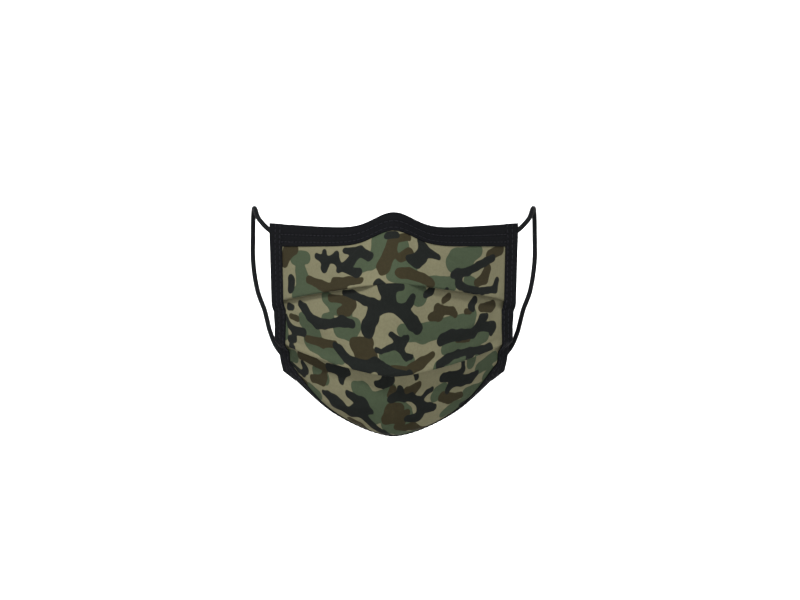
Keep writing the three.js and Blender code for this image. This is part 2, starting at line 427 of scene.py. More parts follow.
def chin_ease(h: np.ndarray, t: np.ndarray | float) -> np.ndarray:
    """How far the cloth below the lower lip comes back out to the face, in millimetres, but not at the sides."""
    return 2.6 * smooth(h, LOWER_LIP + 0.03, 0.9) * (1 - smooth(np.abs(t), 0.5, 0.95))


# ---- Finishes ----


def surface(material: bpy.types.Material) -> bpy.types.Node:
    """The shader of a material.

    Args:
        material: A material with nodes.

    Returns:
        Its Principled BSDF.
    """
    return next(n for n in material.node_tree.nodes if n.type == "BSDF_PRINCIPLED")


def start_material(name: str, roughness: float, **fixed: float) -> bpy.types.Material:
    """Starts a material with values that are the same all over it.

    Args:
        name: The material's name.
        roughness: Its roughness.
        fixed: More shader values, by socket name with spaces as underscores.

    Returns:
        The material.
    """
    material = bpy.data.materials.new(name)
    material.use_nodes = True
    shader = surface(material)
    shader.inputs["Roughness"].default_value = roughness
    for socket, value in fixed.items():
        shader.inputs[socket.replace("_", " ")].default_value = value
    return material


@dataclass(frozen=True)
class Weave:
    """A bump of crossing threads on the piece's own cut, which gives cloth its fine grain."""

    pitch: float  # millimetres from thread to thread
    height: float  # millimetres
    diagonal: float = 0.0  # share by which the threads lean, 1 for a twill

    def connect(self, tree: bpy.types.NodeTree, shader: bpy.types.Node) -> None:
        """Adds the bump to a shader.

        Args:
            tree: The material's tree.
            shader: Its shader.
        """
        uv = add_node(tree, "ShaderNodeUVMap", uv_map="cut")
        turns = 2 * math.pi / (self.pitch * MM)
        scaled = add_node(tree, "ShaderNodeVectorMath", {0: uv.outputs[0], 3: turns}, operation="SCALE")
        split = add_node(tree, "ShaderNodeSeparateXYZ", {0: scaled.outputs[0]})
        sloped = {0: split.outputs[0], 1: self.diagonal, 2: split.outputs[1]}
        lean = add_node(tree, "ShaderNodeMath", sloped, operation="MULTIPLY_ADD")
        warp = add_node(tree, "ShaderNodeMath", {0: split.outputs[0]}, operation="SINE")
        weft = add_node(tree, "ShaderNodeMath", {0: lean.outputs[0]}, operation="SINE")
        crossing = "ADD" if self.diagonal else "MULTIPLY"
        height = add_node(tree, "ShaderNodeMath", {0: weft.outputs[0], 1: warp.outputs[0]}, operation=crossing)
        result = add_node(tree, "ShaderNodeMath", {0: height.outputs[0], 1: self.height}, operation="MULTIPLY")
        bump = add_node(tree, "ShaderNodeBump", {"Height": result.outputs[0], "Distance": MM, "Strength": 1.0})
        tree.links.new(bump.outputs[0], shader.inputs["Normal"])


class Ink(Enum):
    """The inks of the print, in the order that they are laid on the tan ground."""

    GREEN = "#434e3b"
    BROWN = "#342f1f"
    BLACK = "#1a1d1b"

    @property
    def spread(self) -> float:
        """How far the ink runs beyond its drawn figures, in millimetres."""
        return {Ink.GREEN: 2.6, Ink.BROWN: 1.1, Ink.BLACK: 0.6}[self]

    @property
    def layer(self) -> str:
        """The name of the cloth's attribute that holds the ink's outline."""
        return f"ink_{self.name.lower()}"


@dataclass(frozen=True)
class PrintedPoplin:
    """Fine cotton poplin with a woodland print: close plain weave, a soft sheen, ink that sinks in."""

    ground: str = "#77745b"
    weave: Weave = Weave(0.55, 0.02)  # real threads lie 0.25 mm apart: drawn coarser, so that they show
    soft: float = 0.16  # half the width of an ink's edge, in millimetres
    wander: float = 0.5  # how far the edges stray from their outlines, in millimetres

    def material(self) -> bpy.types.Material:
        """Builds the cloth's material, with the inks laid one on another.

        Returns:
            The material.
        """
        soft = dict(Sheen_Weight=0.03, Sheen_Roughness=0.3, Specular_IOR_Level=0.08)
        material = start_material("printed_cotton_poplin", 0.75, **soft)
        tree, shader = material.node_tree, surface(material)
        uv = add_node(tree, "ShaderNodeUVMap", uv_map="cut").outputs[0]
        ground = add_node(tree, "ShaderNodeRGB")
        ground.outputs[0].default_value = linear(self.ground)
        colour = ground.outputs[0]
        for number, ink in enumerate(Ink):
            shifted = add_node(tree, "ShaderNodeMapping", {"Vector": uv, "Location": (0.37 * number, 0.11, 0)})
            fine = {"Vector": shifted.outputs[0], "Scale": 130.0, "Detail": 1.0}  # bumps 8 mm apart along an edge
            stray = add_node(tree, "ShaderNodeTexNoise", fine, noise_dimensions="2D")
            edge = add_node(tree, "ShaderNodeAttribute", attribute_name=ink.layer)
            moved = {0: stray.outputs[0], 1: 2 * self.wander, 2: edge.outputs["Fac"]}
            place = add_node(tree, "ShaderNodeMath", moved, operation="MULTIPLY_ADD").outputs[0]
            across = {"Value": place, "From Min": self.wander + self.soft, "From Max": self.wander - self.soft}
            inside = add_node(tree, "ShaderNodeMapRange", across)
            laid = {0: inside.outputs[0], 6: colour, 7: linear(ink.value)}
            mixed = add_node(tree, "ShaderNodeMix", laid, data_type="RGBA")
            colour = mixed.outputs[2]
        # Ink takes a little unevenly on the yarn, which keeps the flat colours from looking painted.
        mottle = add_node(tree, "ShaderNodeTexNoise", {"Vector": uv, "Scale": 700.0, "Detail": 2.0})
        shade = add_node(tree, "ShaderNodeMapRange", {"Value": mottle.outputs[0], "To Min": 0.86, "To Max": 1.14})
        worn = add_node(tree, "ShaderNodeVectorMath", {0: colour, 3: shade.outputs[0]}, operation="SCALE")
        tree.links.new(worn.outputs[0], shader.inputs["Base Color"])
        self.weave.connect(tree, shader)
        return material


@dataclass(frozen=True)
class PlainCloth:
    """A cloth of one dyed colour: its weave and a slight unevenness of the dye are all that shows."""

    name: str
    colour: str
    weave: Weave
    roughness: float = 0.8
    sheen: float = 0.02
    gloss: float = 0.06

    def material(self) -> bpy.types.Material:
        """Builds the cloth's material.

        Returns:
            The material.
        """
        soft = dict(Sheen_Weight=self.sheen, Sheen_Roughness=0.4, Specular_IOR_Level=self.gloss)
        material = start_material(self.name, self.roughness, **soft)
        tree, shader = material.node_tree, surface(material)
        uv = add_node(tree, "ShaderNodeUVMap", uv_map="cut").outputs[0]
        dye = add_node(tree, "ShaderNodeTexNoise", {"Vector": uv, "Scale": 350.0, "Detail": 3.0})
        base = linear(self.colour)
        dark, light = tuple(0.8 * c for c in base[:3]), tuple(1.2 * c for c in base[:3])
        shades = {0: dye.outputs[0], 6: (*dark, 1), 7: (*light, 1)}
        mixed = add_node(tree, "ShaderNodeMix", shades, data_type="RGBA")
        tree.links.new(mixed.outputs[2], shader.inputs["Base Color"])
        self.weave.connect(tree, shader)
        return material


@dataclass(frozen=True)
class BraidedElastic:
    """Round elastic with a braided polyester cover: small diamonds of yarn that wind both ways."""

    colour: str = "#131417"
    strand: float = 1.1  # millimetres along the cord from strand to strand
    height: float = 0.09

    def material(self, girth: float) -> bpy.types.Material:
        """Builds the cord's material.

        Args:
            girth: The cord's girth in millimetres.

        Returns:
            The material.
        """
        soft = dict(Sheen_Weight=0.02, Sheen_Roughness=0.35, Specular_IOR_Level=0.1)
        material = start_material("braided_elastic", 0.7, **soft)
        tree, shader = material.node_tree, surface(material)
        uv = add_node(tree, "ShaderNodeUVMap", uv_map="cut")
        split = add_node(tree, "ShaderNodeSeparateXYZ", {0: uv.outputs[0]})
        around = 6  # strands that wind each way
        turns = 2 * math.pi / MM
        wound = {0: split.outputs[1], 1: turns * around / girth}
        lean = add_node(tree, "ShaderNodeMath", wound, operation="MULTIPLY")
        heights = []
        for way in (1, -1):
            winding = {0: split.outputs[0], 1: way * turns / (2 * self.strand), 2: lean.outputs[0]}
            phase = add_node(tree, "ShaderNodeMath", winding, operation="MULTIPLY_ADD")
            heights.append(add_node(tree, "ShaderNodeMath", {0: phase.outputs[0]}, operation="SINE").outputs[0])
        crossing = add_node(tree, "ShaderNodeMath", {0: heights[0], 1: heights[1]}, operation="MAXIMUM")
        # The colour runs from a darker copy of the yarn in the hollows between the strands to the full colour on their
        # crowns: painted shade in the braid's grooves.
        groove_shade = add_node(tree, "ShaderNodeMapRange", {"Value": crossing.outputs[0], "From Min": -1.0})
        base = linear(self.colour)
        dark = tuple(0.45 * c for c in base[:3])
        mixed = add_node(tree, "ShaderNodeMix", {0: groove_shade.outputs[0], 6: (*dark, 1), 7: base}, data_type="RGBA")
        tree.links.new(mixed.outputs[2], shader.inputs["Base Color"])
        high = add_node(tree, "ShaderNodeMath", {0: crossing.outputs[0], 1: self.height}, operation="MULTIPLY")
        bump = add_node(tree, "ShaderNodeBump", {"Height": high.outputs[0], "Distance": MM, "Strength": 1.0})
        tree.links.new(bump.outputs[0], shader.inputs["Normal"])
        return material


@dataclass(frozen=True)
class SpunThread:
    """Spun polyester sewing thread: dark, a little glossier than the tape that it lies on."""

    colour: str = "#202127"
    twist: float = 0.5  # millimetres from one turn of the yarn to the next

    def material(self) -> bpy.types.Material:
        """Builds the thread's material.

        Returns:
            The material.
        """
        material = start_material("spun_polyester_thread", 0.6, Sheen_Weight=0.02, Specular_IOR_Level=0.15)
        tree, shader = material.node_tree, surface(material)
        place = add_node(tree, "ShaderNodeTexCoord").outputs["Object"]
        turns = {"Vector": place, "Scale": 1 / (self.twist * MM), "Detail": 1.0}
        wave = add_node(tree, "ShaderNodeTexNoise", turns)
        base = linear(self.colour)
        dark = tuple(0.6 * c for c in base[:3])
        mixed = add_node(tree, "ShaderNodeMix", {0: wave.outputs[0], 6: (*dark, 1), 7: base}, data_type="RGBA")
        tree.links.new(mixed.outputs[2], shader.inputs["Base Color"])
        return material


@dataclass(frozen=True)
class SoftAluminium:
    """Rolled soft aluminium strip: dull, with fine lines from the rolls."""

    colour: str = "#b9bcc0"

    def material(self) -> bpy.types.Material:
        """Builds the strip's material.

        Returns:
            The material.
        """
        material = start_material("rolled_aluminium_strip", 0.38, Metallic=1.0)
        tree, shader = material.node_tree, surface(material)
        place = add_node(tree, "ShaderNodeTexCoord").outputs["Object"]
        lines = add_node(tree, "ShaderNodeMapping", {"Vector": place, "Scale": (40.0, 40.0, 4000.0)})
        noise = add_node(tree, "ShaderNodeTexNoise", {"Vector": lines.outputs[0], "Scale": 1.0, "Detail": 3.0})
        tone = add_node(tree, "ShaderNodeMapRange", {"Value": noise.outputs[0], "To Min": 0.28, "To Max": 0.5})
        tree.links.new(tone.outputs[0], shader.inputs["Roughness"])
        shader.inputs["Base Color"].default_value = linear(self.colour)
        return material


POPLIN = PrintedPoplin().material()
# The lining is matt and black, the felt bright and fuzzy, and the tape a smoother black with a slanting grain.
LINING = PlainCloth("dyed_cotton_lining", "#1b1b1e", Weave(0.6, 0.03)).material()
FELT = PlainCloth("pressed_filter_felt", "#e2e0da", Weave(0.9, 0.02), 0.9, 0.1).material()
TAPE = PlainCloth("twill_binding_tape", "#0f1013", Weave(0.8, 0.03, 1.0), 0.7, 0.01, 0.06).material()
THREAD = SpunThread().material()


def dress(obj: bpy.types.Object, material: bpy.types.Material) -> bpy.types.Object:
    """Gives a piece its material.

    Args:
        obj: The piece.
        material: Its material.

    Returns:
        The piece.
    """
    obj.data.materials.clear()
    obj.data.materials.append(material)
    return obj


# ---- Stitches ----


class StitchTree:
    """A geometry tree that lays stitches along a line, each turned to the line and to the cloth's outward side."""

    def __init__(self) -> None:
        """Builds the tree once, with an input for each size of a stitch."""
        tree = bpy.data.node_groups.new("laid_stitches", "GeometryNodeTree")
        tree.interface.new_socket("Geometry", in_out="OUTPUT", socket_type="NodeSocketGeometry")
        tree.interface.new_socket("Geometry", in_out="INPUT", socket_type="NodeSocketGeometry")
        self.ids = {}
        for name, value in (("Pitch", 3 * MM), ("Length", 2.4 * MM), ("Thickness", 0.45 * MM), ("Turn", 0.0)):
            socket = tree.interface.new_socket(name, in_out="INPUT", socket_type="NodeSocketFloat")
            socket.default_value = value
            self.ids[name] = socket.identifier
        group_in = add_node(tree, "NodeGroupInput")
        size = {name: group_in.outputs[name] for name in self.ids}
        line = add_node(tree, "GeometryNodeMeshToCurve", {0: group_in.outputs["Geometry"]})
        spacing = {"Curve": line.outputs[0], "Length": size["Pitch"]}
        spots = add_node(tree, "GeometryNodeResampleCurve", spacing, mode="LENGTH")
        tangent = add_node(tree, "GeometryNodeInputTangent")
        outward = add_node(tree, "GeometryNodeInputNamedAttribute", {"Name": "outward"}, data_type="FLOAT_VECTOR")
        align = "FunctionNodeAlignEulerToVector"
        along = add_node(tree, align, {"Vector": tangent.outputs[0]}, axis="X", pivot_axis="AUTO")
        rising = {"Rotation": along.outputs[0], "Vector": outward.outputs[0]}
        facing = add_node(tree, align, rising, axis="Z", pivot_axis="X")
        turn = add_node(tree, "ShaderNodeCombineXYZ", {2: size["Turn"]})
        spun = {"Rotation": facing.outputs[0], "Rotate By": turn.outputs[0]}
        turned = add_node(tree, "FunctionNodeRotateEuler", spun, space="LOCAL")
        ball = add_node(tree, "GeometryNodeMeshIcoSphere", {"Radius": 0.5, "Subdivisions": 2})
        sizes = {0: size["Length"], 1: size["Thickness"], 2: size["Thickness"]}
        scale = add_node(tree, "ShaderNodeCombineXYZ", sizes)
        placing = dict(Points=spots, Instance=ball, Rotation=turned, Scale=scale)
        laid = {name: node.outputs[0] for name, node in placing.items()}
        stitches = add_node(tree, "GeometryNodeInstanceOnPoints", laid)
        real = add_node(tree, "GeometryNodeRealizeInstances", {0: stitches.outputs[0]})
        dyed = add_node(tree, "GeometryNodeSetMaterial", {"Geometry": real.outputs[0], "Material": THREAD})
        rounded = add_node(tree, "GeometryNodeSetShadeSmooth", {0: dyed.outputs[0]})
        add_node(tree, "NodeGroupOutput", {0: rounded.outputs[0]})
        self.tree = tree

    def lay(self, name: str, line: np.ndarray, outward: np.ndarray, **sizes: float) -> bpy.types.Object:
        """Lays stitches along a line and turns them to a plain mesh.

        Args:
            name: The piece's name.
            line: The line's points, in metres.
            outward: The cloth's outward direction at each point.
            sizes: Pitch, Length, Thickness and Turn where they differ from the tree's own.

        Returns:
            The stitches.
        """
        mesh = bpy.data.meshes.new(name)
        edges = [(i, i + 1) for i in range(len(line) - 1)]
        mesh.from_pydata([tuple(map(float, p)) for p in line], edges, [])
        attribute = mesh.attributes.new("outward", "FLOAT_VECTOR", "POINT")
        attribute.data.foreach_set("vector", np.asarray(outward, np.float32).ravel())
        path = bpy.data.objects.new(name, mesh)
        bpy.context.scene.collection.objects.link(path)
        modifier = path.modifiers.new("stitches", "NODES")
        modifier.node_group = self.tree
        for size, value in sizes.items():
            modifier[self.ids[size]] = value
        made = bpy.data.meshes.new_from_object(path.evaluated_get(bpy.context.evaluated_depsgraph_get()))
        path.modifiers.clear()
        path.data = made
        bpy.data.meshes.remove(mesh)
        made.name = name
        return dress(path, THREAD)


STITCHES = StitchTree()


# ---- Camera and light ----


@dataclass
class Studio:
    """A pale sweep, soft lights and a level camera in front of the mask."""

    distance: float = 3.0  # from the origin to the camera
    lens: float = 245.0
    aim: tuple[float, float] = (0.0035, -0.042)  # the x and z that the camera looks at, straight ahead
    floor: float = -0.8
    back: float = 3.2

    def build(self) -> None:
        """Makes the camera, the sweep, the lights and the world."""
        scene = bpy.context.scene
        camera = bpy.data.objects.new("camera", bpy.data.cameras.new("camera"))
        camera.data.lens = self.lens
        camera.data.clip_start = 0.05
        camera.location = (self.aim[0], -self.distance, self.aim[1])
        camera.rotation_euler = (math.pi / 2, 0, 0)
        scene.collection.objects.link(camera)
        scene.camera = camera
        scene.view_settings.view_transform = "Standard"
        self.sweep()
        for name, place, target, size, watts in (
            ("key", (-0.3, -1.15, 1.35), (0, 0.02, -0.05), 0.25, 32.0),
            ("front_low", (0.2, -2.1, -0.45), (0, 0.02, -0.07), 0.8, 18.0),
            ("left_rim", (-1.1, 0.1, 0.3), (0, 0.02, -0.05), 0.6, 4.0),
            ("right_rim", (1.1, 0.1, 0.3), (0, 0.02, -0.05), 0.6, 4.0),
            ("wall_left", (-0.5, 2.0, 0.5), (-0.3, 3.7, 0), 1.0, 42.0),
            ("wall_right", (0.5, 2.0, 0.5), (0.3, 3.7, 0), 1.0, 42.0),
        ):
            lamp = bpy.data.lights.new(name, "AREA")
            lamp.energy = watts
            lamp.size = size
            light = bpy.data.objects.new(name, lamp)
            light.location = place
            light.rotation_euler = (Vector(target) - Vector(place)).to_track_quat("-Z", "Y").to_euler()
            scene.collection.objects.link(light)
        world = bpy.data.worlds.new("studio")
        world.use_nodes = True
        background = world.node_tree.nodes["Background"]
        background.inputs["Color"].default_value = (1, 1, 1, 1)
        background.inputs["Strength"].default_value = 0.14
        scene.world = world

    def sweep(self) -> None:
        """Makes the floor, which curves up into a plain back wall."""
        radius, steps, reach, height = 0.5, 24, 5.0, 3.0
        profile = [(-reach, self.floor)]
        for i in range(steps + 1):
            a = math.pi / 2 * i / steps
            profile.append((self.back + radius * math.sin(a), self.floor + radius * (1 - math.cos(a))))
        profile.append((self.back + radius, self.floor + height))
        points = np.array([(x, y, z) for y, z in profile for x in (-reach, reach)])
        faces = [(2 * i, 2 * i + 1, 2 * i + 3, 2 * i + 2) for i in range(len(profile) - 1)]
        obj = make_object("studio_sweep", points, faces)
        paper = start_material("matt_paper_sweep", 0.95)  # uncoated paper, which shows no highlight
        surface(paper).inputs["Base Color"].default_value = linear("#ebebeb")
        obj.data.materials.append(paper)


# ---- Ear cords ----


@dataclass
class EarCord:
    """One round elastic, sewn down inside the two corners of its side; the sizes of its swing and stretch are kept but
    not used.
    """

    side: Side
    diameter: float = 2.8
    length: float = 0.175  # at the worn length, in metres
    around: int = 20
    steps: int = 300
    sewn: float = 8.0  # millimetres of cord under each bar tack
    route: tuple[tuple[float, float, float], ...] = (
        (65.2, 58.1, -3.9),
        (68.5, 61.9, -3.5),
        (76, 76, 3.5),
        (79, 92, 10),
        (80, 104, 8),
        (80.5, 113, -4),
        (80.5, 115.5, -20),
        (78, 110, -36),
        (73.5, 98, -48),
        (70, 82, -60),
        (66, 70, -68.5),
        (60.3, 58.9, -74.8),
        (57.4, 55.2, -76.8),
    )
    stretch_way: tuple[float, float, float] = (0.2, 0.97, 0.14)
    hinge_middle: tuple[float, float, float] = (0.06286, 0.05852, -0.03973)
    give: float = 0.034  # from the hinge to where the bow starts

    def points(self) -> np.ndarray:
        """The cord's centre line, as a smooth curve through its route.

        Returns:
            Evenly spaced points in metres.
        """
        p = np.array(self.route) * (self.side.value, 1, 1)
        p = np.vstack([2 * p[0] - p[1], p, 2 * p[-1] - p[-2]])
        line = []
        for i in range(1, len(p) - 2):
            line.extend(self.span(p[i - 1 : i + 3], 40))
        line.append(p[-2])
        line = np.array(line)
        run = arc_length(line)
        even = np.linspace(0, run[-1], self.steps + 1)
        return np.stack([np.interp(even, run, line[:, k]) for k in range(3)], -1) * MM

    @staticmethod
    def span(p: np.ndarray, count: int) -> list:
        """Points between the middle two of four, on a centripetal curve through them.

        Args:
            p: Four points.
            count: How many points to give.

        Returns:
            The points, from the second of the four to just before the third.
        """
        k = np.concatenate([[0], np.cumsum(np.sqrt(np.linalg.norm(np.diff(p, axis=0), axis=1)))])
        out = []
        for t in np.linspace(k[1], k[2], count, endpoint=False):
            a = [((k[i + 1] - t) * p[i] + (t - k[i]) * p[i + 1]) / (k[i + 1] - k[i]) for i in range(3)]
            b = [((k[i + 2] - t) * a[i] + (t - k[i]) * a[i + 1]) / (k[i + 2] - k[i]) for i in range(2)]
            out.append(((k[2] - t) * b[0] + (t - k[1]) * b[1]) / (k[2] - k[1]))
        return out

    def tube(
        self, name: str, line: np.ndarray, width: np.ndarray, thick: np.ndarray, flat_way: np.ndarray
    ) -> bpy.types.Object:
        """A tube along a line, whose section may be flattened.

        Args:
            name: The piece's name.
            line: Its centre line, in metres.
            width: Its width at each point, in metres.
            thick: Its thickness at each point, in metres.
            flat_way: The direction that it is flattened along.

        Returns:
            The tube.
        """
        tangent = np.gradient(line, axis=0)
        tangent /= np.linalg.norm(tangent, axis=1, keepdims=True)
        up = flat_way - np.sum(flat_way * tangent[0]) * tangent[0]
        rings, run, uv = [], arc_length(line), []
        for i, (p, d) in enumerate(zip(line, tangent)):
            up = up - np.dot(up, d) * d
            up /= np.linalg.norm(up)
            across = np.cross(d, up)
            for j in range(self.around):
                a = 2 * math.pi * j / self.around
                rings.append(p + across * math.cos(a) * width[i] / 2 + up * math.sin(a) * thick[i] / 2)
                uv.append((run[i], j / self.around * math.pi * self.diameter * MM))
        return make_object(name, np.array(rings), loft_faces(len(line), self.around), np.array(uv))

    def build(self) -> None:
        """Makes the cord, its two sewn ends and their bar tacks."""
        word = self.side.word
        finish = ELASTIC
        line = self.points()
        whole = np.full(len(line), self.diameter * MM)
        cord = self.tube(f"{word}_ear_cord", line, whole, whole, np.array([0.0, 0.3, 1.0]))
        dress(cord, finish)
        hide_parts(*(f"{word}_cord_{part}" for part in ("upper_leg", "bow", "lower_leg")))
        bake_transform(cord)
        for level, body in (("upper", Body.MASK), ("lower", Body.CHIN)):
            self.sewn_end(level, body, line if level == "upper" else line[::-1])
        log.info("%s ear cord: %.1f mm", word, arc_length(line)[-1] / MM)

    def sewn_end(self, level: str, body: Body, line: np.ndarray) -> None:
        """Makes the flattened end of the cord inside a corner, and the bar tack that holds it.

        Args:
            level: "upper" or "lower".
            body: The body that the corner is on.
            line: The cord's centre line, from this end.
        """
        word = self.side.word
        low, high = (np.array(corner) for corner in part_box(f"{word}_tack_{level}"))
        middle = (low + high) / 2
        way = middle - line[0]
        way /= np.linalg.norm(way)
        run = np.linspace(-0.5, self.sewn, 24)
        points = line[0] + way * run[:, None] * MM
        flat = smooth(run, 0, 2.5)  # the needle presses the cord flat within a few millimetres
        width = (self.diameter + 1.3 * flat) * MM
        thick = (self.diameter - 1.5 * flat) * MM
        inward = np.array([-self.side.value * 0.62, 0.75, 0.1])  # from the cloth to the wearer's cheek
        points = points - inward * (self.diameter * MM - thick)[:, None] * 0.5
        end = self.tube(f"{word}_cord_end_{level}", points, width, thick, inward)
        dress(end, ELASTIC)
        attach(end, body.value)
        on_top = points[8:-2] + inward * (thick[8:-2, None] * 0.5 + 0.1 * MM)
        tack = STITCHES.lay(
            f"{word}_bar_tack_{level}",
            on_top,
            np.tile(inward, (len(on_top), 1)),
            Pitch=0.42 * MM,
            Length=5.2 * MM,
            Thickness=0.5 * MM,
            Turn=math.radians(82),
        )
        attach(tack, body.value)
        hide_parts(f"{word}_tack_{level}")


ELASTIC = BraidedElastic().material(girth=math.pi * EarCord.diameter)
